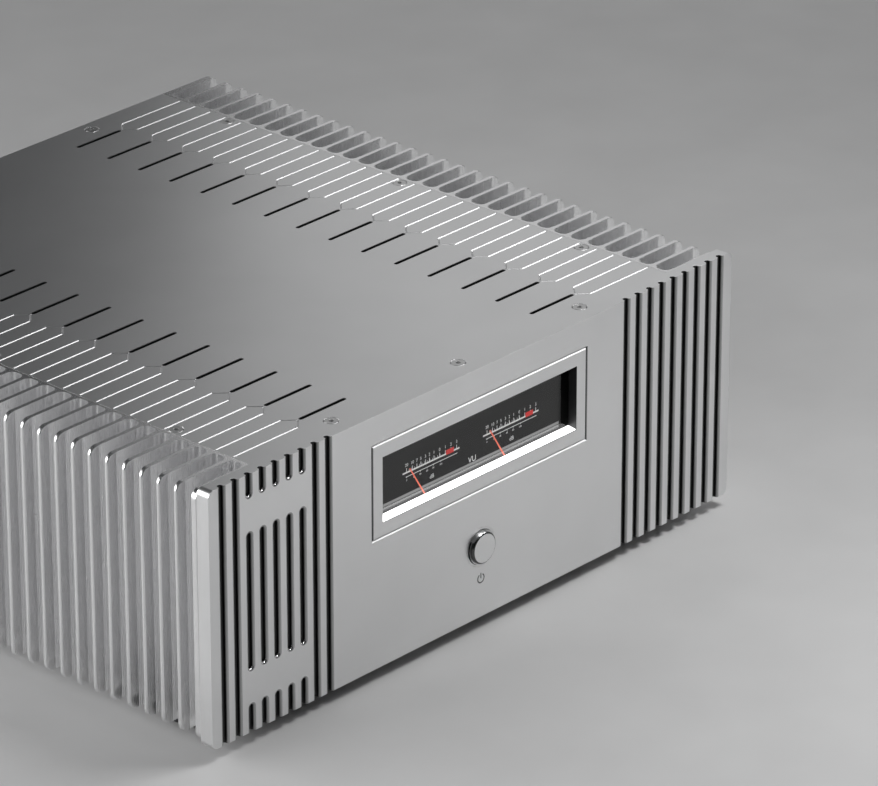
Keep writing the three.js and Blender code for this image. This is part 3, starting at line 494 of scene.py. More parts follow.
def make_front_panel():
    """The milled front plate: grooves, the bezel's opening, the glass pocket and the button's bore."""
    outline = rounded_rectangle((-SIDE, PANEL_LOW.z), (SIDE, PANEL_HIGH.z), PANEL_CORNER, 12)
    panel = prism("front_panel_milled", outline, FRONT, PANEL_BACK, "Y")
    panel.data.materials.append(satin)
    cutters = []
    for i in range(GROOVES_PER_SIDE):
        x = OUTER_GROOVE - i * GROOVE_PITCH
        cutters.append(groove_cutter(x, FULL_STRETCH))
        stretches = BROKEN_STRETCHES if i in BROKEN_GROOVES else [FULL_STRETCH]
        cutters += [groove_cutter(-x, stretch) for stretch in stretches]
    grooves = merged("grooves", cutters)
    # The groove cutters carry the painted shade onto the walls they cut.
    grooves.data.materials.append(groove_painted_shade)
    carve(panel, grooves)
    # Painted highlight: the up-facing rim at each groove's foot gets the lighter, shinier finish instead
    # of the painted shade.
    paint(panel, polish_and_painted_highlight, groove_foot_highlight)
    opening = loft("opening", [
        window_ring(BEZEL_LOW, BEZEL_HIGH, SEAM_CHAMFER + SEAM + 1, FRONT - 1),
        window_ring(BEZEL_LOW, BEZEL_HIGH, SEAM, FRONT + SEAM_CHAMFER),
        window_ring(BEZEL_LOW, BEZEL_HIGH, SEAM, PANEL_BACK + 1),
    ])
    carve(panel, opening)
    carve(panel, loft("pocket", [
        window_ring(GLASS_LOW, GLASS_HIGH, POCKET_MARGIN, BEZEL_HIGH.y + SEAM),
        window_ring(GLASS_LOW, GLASS_HIGH, POCKET_MARGIN, PANEL_BACK + 1),
    ]))
    bore = SLEEVE_OUTER + SEAM
    carve(panel, turned("bore", [(bore, FRONT - 1), (bore, PANEL_BACK + 1)], centre=(0, BUTTON_Z)))
    # Painted shade on the sloping faces down each side of the bezel's seam.
    paint(panel, seam_painted_shade, on_upright_seam)
    soften(panel, 0.06)
    return finish(panel, satin, stands_for=["front_panel"])


def make_power_mark():
    """The usual ring-and-bar standby symbol under the button."""
    centre = (0, BUTTON_Z - MARK_DROP)
    radius, stroke, proud = 3, 0.75, 0.04
    outline = arc(centre, radius, 120, 420, 40) + arc(centre, radius - stroke, 420, 120, 40)
    ring = prism("power_mark_ring", outline, FRONT - proud, FRONT + proud, "Y")
    half = stroke / 2
    top = centre[1] + radius + 0.4
    bar_outline = [(-half, centre[1]), (half, centre[1]), (half, top), (-half, top)]
    bar = prism("power_mark_bar", bar_outline, FRONT - proud, FRONT + proud, "Y")
    return finish(merged("power_mark", [ring, bar]), engraved)


make_front_panel()
make_power_mark()

# ---------------------------------------------------------------- meter window
LEDGE_LOW, LEDGE_HIGH = box_mm("meter_light_bar")
WINDOW_HEIGHT = 39.5
WINDOW_LOW = Vector((LEDGE_LOW.x - SEAM, 0, LEDGE_LOW.z - SEAM))
WINDOW_HIGH = Vector((-WINDOW_LOW.x, 0, WINDOW_LOW.z + WINDOW_HEIGHT))


def make_bezel():
    """The frame set into the front panel, with black walls round its opening."""
    bezel = loft("meter_bezel_framed", [
        window_ring(BEZEL_LOW, BEZEL_HIGH, -SEAM_CHAMFER, FRONT),
        window_ring(BEZEL_LOW, BEZEL_HIGH, 0, FRONT + SEAM_CHAMFER),
        window_ring(BEZEL_LOW, BEZEL_HIGH, 0, BEZEL_HIGH.y),
    ])
    bezel.data.materials.append(satin)
    opening = loft("opening", [
        window_ring(WINDOW_LOW, WINDOW_HIGH, 0, FRONT - 1),
        window_ring(WINDOW_LOW, WINDOW_HIGH, 0, BEZEL_HIGH.y + 1),
    ])
    opening.data.materials.append(black_plastic)
    carve(bezel, opening)
    # Painted shade on the sloping faces down each side of the bezel's seam.
    paint(bezel, seam_painted_shade, on_upright_seam)
    soften(bezel, 0.12)
    return finish(bezel, satin, stands_for=["meter_bezel"])


def make_light_bar():
    """A wedge of white plastic whose top rises towards the dial."""
    low, high = LEDGE_LOW, LEDGE_HIGH
    lip = 0.3
    side = [(low.y, low.z), (high.y, low.z), (high.y, high.z), (low.y, low.z + lip)]
    ledge = prism("meter_light_ledge", side, low.x, high.x, "X")
    soften(ledge, 0.1)
    return finish(ledge, light_white, stands_for=["meter_light_bar"])


make_bezel()
make_light_bar()
dress("meter_glass", glass, 0.2)
dress("meter_dial_plate", dial_black, 0.2)
for side in ("left", "right"):
    # The needles keep the CAD shape and get a red finish with a painted glow.
    dress(f"needle_{side}", needle_red, 0.08)
    dress(f"meter_movement_{side}", black_plastic, 0.6)

# ---------------------------------------------------------------- dial print
METER_X = 33
SCALE_HALF = 23.2
PRINT_THICKNESS = 0.05
CARD_THICKNESS = 0.02
FONT_SIZE = 1.4
DIAL_FACE = DIAL_LOW.y
SCALE_Z = PANEL_LOW.z + 105.95
TRIM_HALF = 73.5
TRIM_TOP = WINDOW_LOW.z + 5.6
TRIM_RAILS = [(1.5, 0.7, TRIM_TOP), (1.1, 0.6, TRIM_TOP - 2.2)]
SCALE_LINE = 0.5
DECIBEL_TICK = 2.6
FINE_TICK = 1.6
RED_ZONE = (0.527, 0.8)
FINE_MARKS = [share / 22 for share in range(-19, 8, 2)]
DECIBEL_MARKS = [("20", -0.86), ("10", -0.66), ("7", -0.5), ("5", -0.36), ("3", -0.2), ("2", -0.06),
                 ("1", 0.1), ("0", 0.3), ("1", 0.5), ("2", 0.7), ("3", 0.9)]
PERCENT_MARKS = [("0", -0.86), ("20", -0.6), ("40", -0.38), ("60", -0.14), ("80", 0.08), ("100", 0.34)]


def strip(x0, x1, z0, z1):
    """A printed rectangle on the dial."""
    outline = [(x0, z0), (x1, z0), (x1, z1), (x0, z1)]
    return prism("print", outline, DIAL_FACE - PRINT_THICKNESS, DIAL_FACE, "Y")


def letters(text, x, z, height):
    """Printed characters centred on x, standing on z."""
    curve = bpy.data.curves.new("letters", "FONT")
    curve.body = text
    curve.size = height * MM * FONT_SIZE
    curve.align_x = "CENTER"
    curve.extrude = PRINT_THICKNESS / 2 * MM
    obj = new_object("letters", curve)
    graph = bpy.context.evaluated_depsgraph_get()
    mesh = bpy.data.meshes.new_from_object(obj.evaluated_get(graph))
    bpy.data.objects.remove(obj)
    for vertex in mesh.vertices:
        across, up, out = vertex.co
        vertex.co = Vector((across + x * MM, DIAL_FACE * MM - out - PRINT_THICKNESS / 2 * MM, up + z * MM))
    return new_object("letters", mesh)


def make_scale(centre, name):
    """One meter's straight decibel scale, with its percent scale below."""
    marks = [
        strip(centre - SCALE_HALF, centre + SCALE_HALF, SCALE_Z - SCALE_LINE, SCALE_Z + SCALE_LINE),
        strip(centre - SCALE_HALF + 2.5, centre + SCALE_HALF - 1.7, SCALE_Z - 2.8, SCALE_Z - 2.4),
        letters("dB", centre + 0.6, SCALE_Z - 10.5, 2.4),
    ]
    for text, share in DECIBEL_MARKS:
        x = centre + share * SCALE_HALF
        marks.append(strip(x - 0.2, x + 0.2, SCALE_Z + SCALE_LINE, SCALE_Z + DECIBEL_TICK))
        marks.append(letters(text, x, SCALE_Z + 3.7, 1.9))
    for share in FINE_MARKS:
        x = centre + share * SCALE_HALF
        marks.append(strip(x - 0.12, x + 0.12, SCALE_Z + SCALE_LINE, SCALE_Z + FINE_TICK))
    for text, share in PERCENT_MARKS:
        x = centre + share * SCALE_HALF
        marks.append(strip(x - 0.15, x + 0.15, SCALE_Z - 3.4, SCALE_Z - 2.7))
        marks.append(letters(text, x, SCALE_Z - 5.2, 1.1))
    # The scale's white print has a painted glow.
    finish(merged(name, marks), white_painted_glow)
    x0, x1 = (centre + share * SCALE_HALF for share in RED_ZONE)
    zone = strip(x0, x1, SCALE_Z - 0.7, SCALE_Z + 2.2)
    for vertex in zone.data.vertices:
        vertex.co.y -= PRINT_THICKNESS * MM
    zone.name = name + "_red_zone"
    # The red zone's print has a painted glow.
    finish(zone, red_print_painted_glow)


def make_dial_card():
    """The printed card on the dial plate, made a shade paler than the plate at its sides by a faint
    painted glow.
    """
    x0, x1, z0, z1 = -TRIM_HALF, TRIM_HALF, WINDOW_LOW.z - 2, DIAL_HIGH.z - 1
    outline = [(x0, z0), (x1, z0), (x1, z1), (x0, z1)]
    return finish(prism("dial_card_painted_glow", outline, DIAL_FACE - CARD_THICKNESS, DIAL_FACE, "Y"), dial_card_painted_glow)


def make_dial_trim():
    """Two rails with a darker line under each, along the bottom of the dial, all near-black strips lit up
    by a painted glow.
    """
    for number, (rail, line, top) in enumerate(TRIM_RAILS, 1):
        rail_strip = strip(-TRIM_HALF, TRIM_HALF, top - rail, top)
        rail_strip.name = f"dial_rail_{number}"
        finish(rail_strip, rail_painted_glow)
        line_strip = strip(-TRIM_HALF, TRIM_HALF, top - rail - line, top - rail)
        line_strip.name = f"dial_rail_line_{number}"
        finish(line_strip, rail_line_painted_glow)


make_dial_card()
make_dial_trim()
make_scale(-METER_X, "dial_scale_left")
make_scale(METER_X, "dial_scale_right")
# The unit mark's white print has a painted glow.
finish(merged("dial_unit_mark", [letters("VU", 0.75, SCALE_Z - 12.3, 3.6)]), white_painted_glow)

# ---------------------------------------------------------------- power button
BUTTON_RIM = 1.5
BUTTON_STEP = 0.5
BUTTON_GAP = 0.4
FORWARD = -0.97
# Side faces of the button that look further up than this get a painted highlight.
HIGHLIGHT_UPWARD = 0.6


def on_button_side(normal):
    """True for faces of the button that don't look straight forward."""
    return normal.y > FORWARD


def make_button():
    """A turned cap with a small face, a rounded shoulder and one fine step round its side."""
    face = BUTTON_LOW.y
    rim = BUTTON_RIM
    shoulder = BUTTON_RADIUS - BUTTON_STEP
    step = face + rim + BUTTON_STEP
    profile = [(BUTTON_RADIUS / 2, face), (shoulder - rim, face)]
    profile += [(shoulder - rim + a, face + rim - b) for a, b in arc((0, 0), rim, 75, 0, 6)]
    profile += [(shoulder, step), (shoulder - 0.2, step + 0.1), (shoulder - 0.2, step + 0.25),
                (BUTTON_RADIUS, step + 0.3), (BUTTON_RADIUS, BUTTON_HIGH.y)]
    button = turned("power_button_turned", profile, centre=(0, BUTTON_Z), steps=72)
    button.data.materials.append(satin)
    # Painted shade on the button's side and shoulder, with a painted highlight on the faces there that
    # look upward.
    paint(button, button_side_painted_shade, lambda middle, normal: on_button_side(normal) and normal.z <= HIGHLIGHT_UPWARD)
    paint(button, polish_and_painted_highlight, lambda middle, normal: on_button_side(normal) and normal.z > HIGHLIGHT_UPWARD)
    soften(button, 0)
    return finish(button, polish_and_painted_highlight, "power_button", ["power_button"])


def make_sleeve():
    """The tube that the button slides in, with a flange behind the front panel."""
    low, high = box_mm("button_sleeve")
    inner = BUTTON_RADIUS + BUTTON_GAP
    flange = PANEL_BACK + SEAM
    profile = [(inner, low.y), (SLEEVE_OUTER, low.y), (SLEEVE_OUTER, flange), (high.x, flange),
               (high.x, high.y), (inner, high.y)]
    sleeve = turned("button_sleeve_turned", profile, centre=(0, BUTTON_Z), steps=72, hollow=True)
    soften(sleeve, 0.05)
    return finish(sleeve, satin, stands_for=["button_sleeve"])


make_button()
make_sleeve()
dress("power_switch", black_plastic, 0.4)

# ---------------------------------------------------------------- heatsinks
FIN_COUNT = 30
FIN_THICKNESS = 2.8
END_FIN = 4.7
FIN_ROOT = 173
GAP_FILLET = 4
FIN_CORNER = 5
FIN_TIP = 1
SERRATION_PITCH = 1.3
SERRATION_DEPTH = 0.3
SERRATION_FROM = FIN_ROOT + GAP_FILLET + 3
SERRATION_COUNT = 22
FIN_PITCH = (BACK - PANEL_BACK - 2 * END_FIN + FIN_THICKNESS) / (FIN_COUNT + 1)
FIRST_FIN = PANEL_BACK + END_FIN - FIN_THICKNESS / 2 + FIN_PITCH
FIN_CENTRES = [FIRST_FIN + i * FIN_PITCH for i in range(FIN_COUNT)]


def fin_walls():
    """Front and back face of every fin, from the front to the back."""
    walls = [(SINK_LOW.y, PANEL_BACK + END_FIN)]
    walls += [(y - FIN_THICKNESS / 2, y + FIN_THICKNESS / 2) for y in FIN_CENTRES]
    return walls + [(BACK - END_FIN, BACK)]


def serrated(y, into, outward):
    """Fine ribs along one face of a fin; into is the way into its metal."""
    points = []
    for i in range(2 * SERRATION_COUNT + 1):
        x = SERRATION_FROM + i * SERRATION_PITCH / 2
        points.append((x, y + into * SERRATION_DEPTH * (i % 2)))
    return points if outward else points[::-1]


def comb(tip):
    """Plan of the right-hand heatsink with its fins ending at x = tip."""
    walls = fin_walls()
    points = [(SINK_LOW.x, walls[0][0])]
    for i, (near, far) in enumerate(walls):
        if i:
            points += arc((FIN_ROOT + GAP_FILLET, near - GAP_FILLET), GAP_FILLET, 180, 90, 6)
            points += serrated(near, 1, outward=True)
        points += arc((tip - FIN_TIP, near + FIN_TIP), FIN_TIP, -90, 0, 3)
        points += arc((tip - FIN_TIP, far - FIN_TIP), FIN_TIP, 0, 90, 3)
        if i < len(walls) - 1:
            points += serrated(far, -1, outward=False)
            points += arc((FIN_ROOT + GAP_FILLET, far + GAP_FILLET), GAP_FILLET, 270, 180, 6)
    points.append((SINK_LOW.x, walls[-1][1]))
    return points


def corner_rows():
    """(height above the end, tip) rows that round a fin's outer corner."""
    centre = SIDE - FIN_CORNER
    return [(FIN_CORNER - rise, tip) for tip, rise in arc((centre, 0), FIN_CORNER, 90, 0, 6)]


def make_heatsinks():
    """Both heatsinks, seated round the cover and the bottom plate; the left mirrors the right."""
    rows = [(SINK_LOW.z + rise, tip) for rise, tip in corner_rows()]
    rows += [(SINK_HIGH.z - rise, tip) for rise, tip in reversed(corner_rows())]
    rings = [[(x, y, z) for x, y in comb(tip)] for z, tip in rows]
    right = loft("heatsink_right_finned", rings)
    x0, x1 = SINK_LOW.x - 1, COVER_HIGH.x + SEAM
    y0, y1 = SINK_LOW.y - 1, BACK + 1
    carve(right, block("cover_seat", (x0, y0, COVER_LOW.z - SEAM), (x1, y1, SINK_HIGH.z + 1)))
    carve(right, block("base_seat", (x0, y0, SINK_LOW.z - 1), (x1, y1, BASE_HIGH.z + SEAM)))
    left = mirrored(right, "heatsink_left_finned")
    for obj, side in ((right, "right"), (left, "left")):
        soften(obj, 0)
        finish(obj, fin_metal, stands_for=[f"heatsink_{side}"])


make_heatsinks()

# ---------------------------------------------------------------- top cover
V_DEPTH = 0.52
V_OUTER = 169.9
V_INNER = 120.2
V_MEETING = V_INNER - FIN_PITCH / 2
SLOT_OUTER = 112.6
SLOT_INNER = 75.8
SLOT_RADIUS = 1.3
SCREW_HEAD = 4.4
V_OVERCUT = 0.5
V_FLAT = 0.02
SCREW_HEAD_DEPTH = 2.4
SCREW_GAP = 0.2
HEXAGON = 1.6
HEXAGON_DEPTH = 1.5
COVER_EDGE = 0.03


def v_cutter(start, end):
    """A 90 degree V milled along the top of the cover between two plan points."""
    (x0, y0), (x1, y1) = start, end
    run = Vector((x1 - x0, y1 - y0, 0)).normalized()
    across = Vector((-run.y, run.x, 0))
    half = V_DEPTH + V_OVERCUT
    lift = Vector((0, 0, V_OVERCUT))
    rings = []
    for x, y in (start, end):
        foot = Vector((x, y, COVER_HIGH.z))
        rings.append([foot - across * half + lift, foot - Vector((0, 0, V_DEPTH)),
                      foot + across * half + lift])
    return loft("v", rings)


def cone_cutter(x, y):
    """The round end that the V-shaped mill leaves."""
    top = COVER_HIGH.z
    profile = [(V_FLAT, top - V_DEPTH + V_FLAT), (V_DEPTH + V_OVERCUT, top + V_OVERCUT)]
    return turned("cone", profile, "Z", (x, y), 24)


def line_cutter():
    """The lines of two neighbouring fins on the right, running together, about y = 0."""
    cutter = None
    for side in (-1, 1):
        y = side * FIN_PITCH / 2
        parts = [v_cutter((V_INNER, y), (V_OUTER, y)), v_cutter((V_MEETING, 0), (V_INNER, y)),
                 cone_cutter(V_OUTER, y), cone_cutter(V_INNER, y)]
        for part in parts:
            cutter = carve(cutter, part, "UNION") if cutter else part
    return carve(cutter, cone_cutter(V_MEETING, 0), "UNION")


def slot_cutter():
    """One ventilation slot on the right, about y = 0."""
    outline = arc((SLOT_OUTER - SLOT_RADIUS, 0), SLOT_RADIUS, -90, 90, 10)
    outline += arc((SLOT_INNER + SLOT_RADIUS, 0), SLOT_RADIUS, 90, 270, 10)
    return prism("slot", outline, COVER_LOW.z - 1, COVER_HIGH.z + 1)


def screw_places():
    """Plan place of each cover screw, by its CAD node."""
    places = {}
    for node in sorted(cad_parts):
        if node.startswith("cover_screw_"):
            middle = centre_mm(node)
            places[node] = (middle.x, middle.y)
    return places


def make_top_cover():
    """The cover plate with its milled lines, ventilation slots and countersinks."""
    rings = []
    for z, inset in ((COVER_LOW.z, COVER_EDGE), (COVER_LOW.z + COVER_EDGE, 0),
                     (COVER_HIGH.z - COVER_EDGE, 0), (COVER_HIGH.z, COVER_EDGE)):
        x0, x1 = COVER_LOW.x + inset, COVER_HIGH.x - inset
        y0, y1 = COVER_LOW.y + inset, COVER_HIGH.y - inset
        rings.append([(x0, y0, z), (x1, y0, z), (x1, y1, z), (x0, y1, z)])
    cover = loft("top_cover_milled", rings)
    middles = [(FIN_CENTRES[i] + FIN_CENTRES[i + 1]) / 2 for i in range(0, FIN_COUNT, 2)]
    shifts = [(0, y, 0) for y in middles]
    cover.data.materials.append(satin)
    # The slot cutters carry painted shade onto the slot walls; the milled lines keep the plain satin
    # finish.
    for cutter, metal in ((line_cutter(), satin), (slot_cutter(), slot_painted_shade)):
        right = merged("vents_right", moved_copies(cutter, shifts))
        right.data.materials.append(metal)
        left = mirrored(right, "vents_left")
        carve(cover, right)
        carve(cover, left)
    radius, top = SCREW_HEAD + SCREW_GAP, COVER_HIGH.z
    profile = [(radius - SCREW_HEAD_DEPTH, top - SCREW_HEAD_DEPTH - SCREW_GAP),
               (radius, top - SCREW_GAP), (radius, top + 1)]
    sinks = [turned("sink", profile, "Z", place, 40) for place in screw_places().values()]
    carve(cover, merged("sinks", sinks))
    soften(cover, 0)
    return finish(cover, satin, stands_for=["top_cover"])


def make_screws():
    """Countersunk screws with a hexagon socket."""
    top = COVER_HIGH.z
    for node, place in screw_places().items():
        low = box_mm(node)[0]
        profile = [(2, low.z), (2, top - SCREW_HEAD_DEPTH), (SCREW_HEAD - 0.15, top - 0.3),
                   (SCREW_HEAD - 0.45, top)]
        screw = turned(node + "_socket", profile, "Z", place, 40)
        carve(screw, prism("hexagon", circle(HEXAGON, place, 6), top - HEXAGON_DEPTH, top + 1))
        soften(screw, 0.08)
        finish(screw, screw_steel, stands_for=[node])


make_top_cover()
make_screws()

# ---------------------------------------------------------------- the rest of the case
dress("bottom_plate", black_paint, 0.4)
dress("rear_panel", satin, 0.3)
dress("front_rail", satin, 0.4)
dress("rear_rail", satin, 0.4)


def make_foot(node):
    """A turned foot with a rounded lower edge and a small step under the case."""
    low, high = box_mm(node)
    middle = centre_mm(node)
    radius = high.x - middle.x
    edge = 2
    profile = [(radius - edge - 1, low.z)]
    profile += [(radius - edge + a, low.z + edge + b) for a, b in arc((0, 0), edge, -70, 0, 5)]
    profile += [(radius, high.z - 1.5), (radius - 0.6, high.z - 1.2), (radius - 0.6, high.z)]
    foot = turned(node + "_turned", profile, "Z", (middle.x, middle.y), 64)
    soften(foot, 0)
    finish(foot, black_paint, stands_for=[node])


def make_foot_pad(node):
    """The soft disc under a foot."""
    low, high = box_mm(node)
    middle = centre_mm(node)
    radius = high.x - middle.x
    edge = 0.6
    profile = [(radius - edge, low.z), (radius, low.z + edge), (radius, high.z)]
    pad = turned(node + "_moulded", profile, "Z", (middle.x, middle.y), 48)
    soften(pad, 0)
    finish(pad, rubber, stands_for=[node])


for end in ("front", "rear"):
    for side in ("left", "right"):
        make_foot(f"foot_{end}_{side}")
        make_foot_pad(f"foot_pad_{end}_{side}")

# ---------------------------------------------------------------- inside
COIL_TURNS = 150
COIL_HOLE = 18
COIL_CORNER = 9
WIRE = 0.5
CAN_STEPS = 56


def make_coil():
    """The toroidal winding: wires laid side by side round a ring of rounded rectangular section."""
    low, high = box_mm("toroidal_transformer")
    middle = centre_mm("toroidal_transformer")
    outer = high.x - middle.x
    rings = []
    for i in range(2 * COIL_TURNS):
        turn = math.pi * i / COIL_TURNS
        sunk = WIRE * (i % 2)
        inside, outside = (COIL_HOLE + sunk, low.z + sunk), (outer - sunk, high.z - sunk)
        section = rounded_rectangle(inside, outside, COIL_CORNER, 4)
        across, along = math.cos(turn), math.sin(turn)
        rings.append([(middle.x + r * across, middle.y + r * along, z) for r, z in section])
    coil = loft("toroidal_transformer_wound", rings, hollow=True)
    soften(coil, 0)
    return finish(coil, winding, stands_for=["toroidal_transformer"])


def make_capacitor(node):
    """A can in a shrunk sleeve, with a rolled groove near its foot and a bare, sunk top."""
    low, high = box_mm(node)
    middle = centre_mm(node)
    radius = high.x - middle.x
    waist = low.z + 7
    profile = [(radius - 1, low.z), (radius, low.z + 1), (radius, waist - 1.5), (radius - 1, waist),
               (radius, waist + 1.5), (radius, high.z - 1.5), (radius - 0.6, high.z - 0.4),
               (radius - 2, high.z), (radius - 3.5, high.z), (radius - 4, high.z - 0.6)]
    can = turned(node + "_sleeved", profile, "Z", (middle.x, middle.y), CAN_STEPS)
    can.data.materials.append(sleeve_blue)
    paint(can, polish_and_painted_highlight, lambda place, normal: normal.z > 0.9 and place.z > high.z - 1)
    soften(can, 0)
    return finish(can, sleeve_blue, stands_for=[node])


make_coil()
dress("transformer_clamp", black_paint, 0.4)
dress("transformer_bolt", polish_and_painted_highlight, 0.4)
dress("power_supply_board", board_green, 0.15)
dress("amp_board_left", board_green, 0.15)
dress("amp_board_right", board_green, 0.15)
for index in range(1, 5):
    make_capacitor(f"reservoir_capacitor_{index}")

# ---------------------------------------------------------------- rear sockets
FLANGE = 2.6
FLANGE_FACE = REAR_HIGH.y + FLANGE
KNURLS = 28
KNURL_DEPTH = 0.7
CAP_NECK_RADIUS = 6.4
CAP_NECK_LENGTH = 5
STUD_RADIUS = 3
STUD_GAP = 0.4
XLR_PIN_RADIUS = 1.2
XLR_PIN_CIRCLE = 4.5
XLR_BARREL = 11.4
XLR_MOUTH = 9.4
XLR_DEPTH = 13
PHONO_STEP = 12
SOCKET_DROP = 10
ROCKER_RISE = 15


def flange_plate(name, node, corner, y0, y1):
    """A plate with rounded corners and the outline of a node, seen from behind."""
    low, high = box_mm(node)
    return prism(name, rounded_rectangle((low.x, low.z), (high.x, high.z), corner), y0, y1, "Y")


def make_terminal_cap(node, material):
    """A knurled cap on a plain neck, hollow all through."""
    low, high = box_mm(node)
    middle = centre_mm(node)
    radius = high.x - middle.x
    bore = STUD_RADIUS + STUD_GAP
    neck = low.y + CAP_NECK_LENGTH
    rows = [(bore, low.y, 0), (CAP_NECK_RADIUS, low.y, 0), (CAP_NECK_RADIUS, neck, 0),
            (radius - 0.7, neck + 0.3, 0), (radius, neck + 1.2, 1), (radius, high.y - 2.4, 1),
            (radius - 0.7, high.y - 1.8, 0), (radius - 0.5, high.y - 1.2, 0),
            (radius - 1.2, high.y, 0), (bore, high.y, 0)]
    steps = 4 * KNURLS
    rings = []
    for reach, y, knurl in rows:
        ring = []
        for i in range(steps):
            turn = 2 * math.pi * i / steps
            r = reach - knurl * KNURL_DEPTH / 2 * (1 - math.cos(KNURLS * turn))
            ring.append((middle.x + r * math.cos(turn), y, middle.z + r * math.sin(turn)))
        rings.append(ring)
    cap = loft(node + "_knurled", rings, hollow=True)
    soften(cap, 0)
    return finish(cap, material, node, [node])


def make_speaker_terminal(side):
    """A moulded plate and the two plated studs that its caps screw on."""
    node = f"speaker_terminal_{side}"
    low, high = box_mm(node)
    plate = flange_plate(node + "_moulding", node, 4, REAR_HIGH.y + SEAM, FLANGE_FACE)
    soften(plate, 0.5)
    finish(plate, black_plastic, stands_for=[node])
    profile = [(STUD_RADIUS, low.y), (STUD_RADIUS, high.y - 1), (STUD_RADIUS - 0.8, high.y)]
    studs = []
    for colour in ("black", "red"):
        cap = centre_mm(f"terminal_cap_{side}_{colour}")
        studs.append(turned("stud", profile, centre=(cap.x, cap.z), steps=32))
    posts = merged(node + "_studs", studs)
    soften(posts, 0.1)
    finish(posts, gold)


def make_xlr(side):
    """A round three-pin socket in an upright flange with two fixing holes."""
    node = f"xlr_input_{side}"
    low, high = box_mm(node)
    middle = centre_mm(node)
    x, z, face = middle.x, middle.z, high.y
    shell = flange_plate(node + "_shell", node, 3, face - FLANGE, face)
    barrel = [(XLR_BARREL, low.y), (XLR_BARREL, face - FLANGE / 2)]
    carve(shell, turned("barrel", barrel, centre=(x, z)), "UNION")
    mouth = [(XLR_MOUTH, face - XLR_DEPTH), (XLR_MOUTH, face - 0.8), (XLR_MOUTH + 1.2, face + 0.4)]
    carve(shell, turned("mouth", mouth, centre=(x, z)))
    hole = [(0.5, face - 1.2), (1.9, face + 0.2)]
    for dx, dz in ((-9.5, 12), (9.5, -12)):
        carve(shell, turned("fixing", hole, centre=(x + dx, z + dz), steps=24))
    soften(shell, 0.25)
    finish(shell, black_paint, stands_for=[node])
    profile = [(XLR_PIN_RADIUS, face - XLR_DEPTH - 0.5), (XLR_PIN_RADIUS, face - 3),
               (XLR_PIN_RADIUS - 0.3, face - 2.4), (XLR_PIN_RADIUS - 0.8, face - 2.1)]
    pins = []
    for degrees in (90, 210, 330):
        turn = math.radians(degrees)
        centre = (x + XLR_PIN_CIRCLE * math.cos(turn), z + XLR_PIN_CIRCLE * math.sin(turn))
        pins.append(turned("pin", profile, centre=centre, steps=20))
    contact = merged(node + "_pins", pins)
    soften(contact, 0)
    finish(contact, gold)


def make_phono_socket(name, x, z, end, colour):
    """A plated barrel with a contact hole at its bottom, and a coloured ring round its foot."""
    hole, inner, outer, foot = 1.6, 3.1, 4.1, 4.9
    face = FLANGE_FACE
    profile = [(hole, face - 4), (foot, face - 4), (foot, face + 1.5), (outer, face + 1.5),
               (outer, end - 0.5), (outer - 0.4, end), (inner, end), (inner, face + 3),
               (hole, face + 3)]
    barrel = turned(f"rca_barrel_{name}", profile, centre=(x, z), steps=40, hollow=True)
    soften(barrel, 0.08)
    finish(barrel, gold)
    profile = [(5, face), (6.3, face), (6.3, face + 0.8), (5, face + 0.8)]
    ring = turned(f"rca_ring_{name}", profile, centre=(x, z), steps=40, hollow=True)
    soften(ring, 0.1)
    finish(ring, colour)


def make_rca():
    """Two phono sockets side by side on one plate."""
    plate = flange_plate("rca_plate", "rca_inputs", 3, REAR_HIGH.y + SEAM, FLANGE_FACE)
    soften(plate, 0.4)
    finish(plate, black_plastic, stands_for=["rca_inputs"])
    end = box_mm("rca_inputs")[1].y
    z = centre_mm("rca_inputs").z
    # The left socket's white ring has the print's painted glow.
    make_phono_socket("left", -PHONO_STEP, z, end, white_painted_glow)
    make_phono_socket("right", PHONO_STEP, z, end, red_plastic)


def make_mains_inlet():
    """The three-pin inlet with its clipped upper corners, and the well of the rocker above it."""
    low, high = box_mm("mains_inlet")
    middle = centre_mm("mains_inlet").z
    socket_z, rocker_z = middle - SOCKET_DROP, middle + ROCKER_RISE
    face = high.y
    shell = flange_plate("mains_inlet_shell", "mains_inlet", 3, face - FLANGE, face)
    body_low, body_high = (-14.5, low.y, low.z + 2.5), (14.5, face - FLANGE / 2, high.z - 2.5)
    carve(shell, block("body", body_low, body_high), "UNION")
    half, clip = 12, 5
    foot, top = socket_z - 8.5, socket_z + 8.5
    outline = [(-half, foot), (half, foot), (half, top - clip), (half - clip, top),
               (-half + clip, top), (-half, top - clip)]
    carve(shell, prism("socket", outline, low.y + 6, face + 1, "Y"))
    well_low, well_high = (-10, BACK - 12, rocker_z - 8), (10, face + 1, rocker_z + 8)
    carve(shell, block("well", well_low, well_high))
    soften(shell, 0.4)
    finish(shell, black_plastic, stands_for=["mains_inlet"])
    blades = []
    for x, rise in ((-7, -2), (0, 2), (7, -2)):
        z = socket_z + rise
        blades.append(block("blade", (x - 1, low.y + 5, z - 2), (x + 1, face - 5, z + 2)))
    pins = merged("mains_inlet_pins", blades)
    soften(pins, 0.3)
    finish(pins, polish_and_painted_highlight)


for side in ("left", "right"):
    make_speaker_terminal(side)
    make_terminal_cap(f"terminal_cap_{side}_black", black_plastic)
    make_terminal_cap(f"terminal_cap_{side}_red", red_plastic)
    make_xlr(side)
make_rca()
make_mains_inlet()
dress("mains_rocker", black_plastic, 0.6)

# ---------------------------------------------------------------- studio
CAMERA_PLACE = (-2194.2, FRONT - 1966.3, PANEL_LOW.z + 1505.8)
CAMERA_AZIMUTH = -47.68
CAMERA_ELEVATION = 24.90
CAMERA_LENS = 241.7


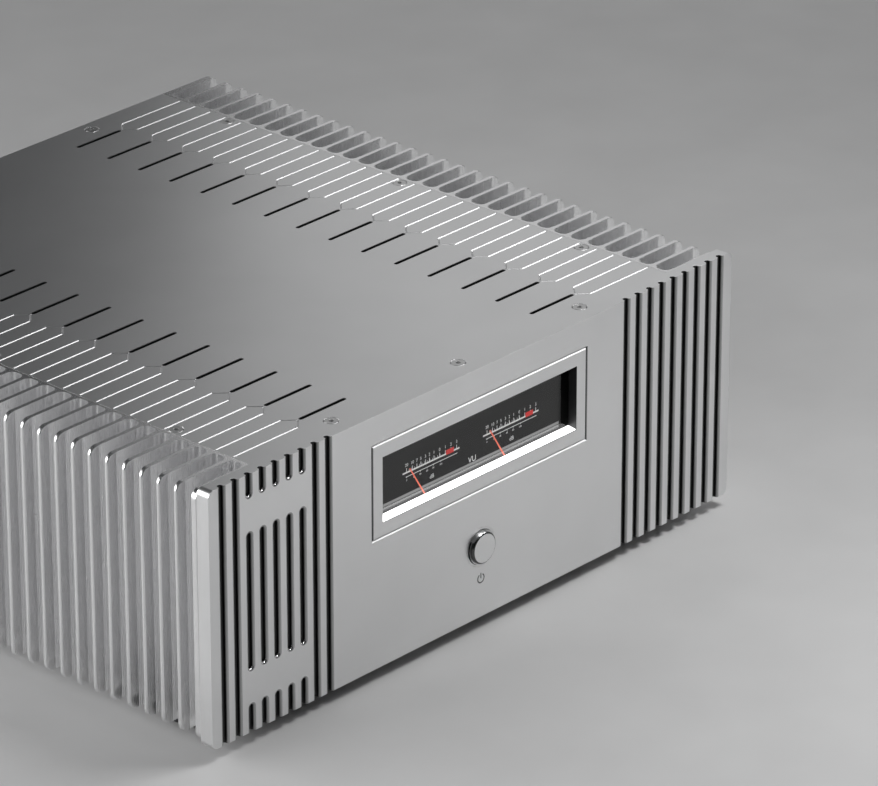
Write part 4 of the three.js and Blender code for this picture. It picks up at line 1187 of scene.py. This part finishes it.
def make_floor():
    """A plain pale floor, thirty metres each way."""
    mesh = bpy.data.meshes.new("studio_floor")
    half = 30
    corners = [(-half, -half, 0), (half, -half, 0), (half, half, 0), (-half, half, 0)]
    mesh.from_pydata(corners, [], [(0, 1, 2, 3)])
    floor = new_object("studio_floor", mesh)
    mesh.materials.append(surface("floor_pale", (0.72, 0.72, 0.72), 0.6, 0, grain_mm=4, bump=0))


def area_light(name, direction, distance, size, power, aim=(0, 0, 0.08), spread=180):
    """A soft rectangular lamp seen in a direction from the aim point; lengths here are metres."""
    lamp = bpy.data.lights.new(name, "AREA")
    lamp.shape = "RECTANGLE"
    lamp.size, lamp.size_y = size
    lamp.energy = power
    lamp.spread = math.radians(spread)
    obj = new_object(name, lamp)
    away = Vector(direction).normalized()
    obj.location = Vector(aim) + away * distance
    obj.rotation_mode = "QUATERNION"
    obj.rotation_quaternion = (-away).to_track_quat("-Z", "Y")


def make_camera():
    """A long lens high on the left of the front."""
    camera = bpy.data.cameras.new("camera")
    camera.lens = CAMERA_LENS
    camera.sensor_width = 36
    camera.clip_end = 100
    obj = new_object("camera", camera)
    obj.location = Vector(CAMERA_PLACE) * MM
    a, e = math.radians(CAMERA_AZIMUTH), math.radians(CAMERA_ELEVATION)
    forward = Vector((-math.sin(a) * math.cos(e), math.cos(a) * math.cos(e), -math.sin(e)))
    obj.rotation_mode = "QUATERNION"
    obj.rotation_quaternion = forward.to_track_quat("-Z", "Y")
    bpy.context.scene.camera = obj


def make_world():
    """A faint even light from all round."""
    world = bpy.data.worlds.new("studio")
    world.use_nodes = True
    background = world.node_tree.nodes["Background"]
    background.inputs["Color"].default_value = (0.9, 0.92, 0.95, 1)
    background.inputs["Strength"].default_value = 0.05
    bpy.context.scene.world = world


make_floor()
make_camera()
make_world()
area_light("key", (0.66, -0.42, 0.61), 2.4, (0.5, 0.5), 4)
area_light("front_pool", (0.15, -0.1, 1.3), 1.3, (0.4, 0.4), 1.5, (0.2, -0.45, 0), 70)
area_light("back_right", (1.02, 0.41, 0.46), 1.2, (0.9, 0.9), 1.15, (0, 0, 0.16))
area_light("back_left", (-0.75, 0.55, 0.34), 1.9, (2.2, 1.2), 34)
bpy.context.scene.view_settings.view_transform = "Standard"
bpy.context.scene.cycles.glossy_bounces = 12
bpy.context.scene.cycles.max_bounces = 16
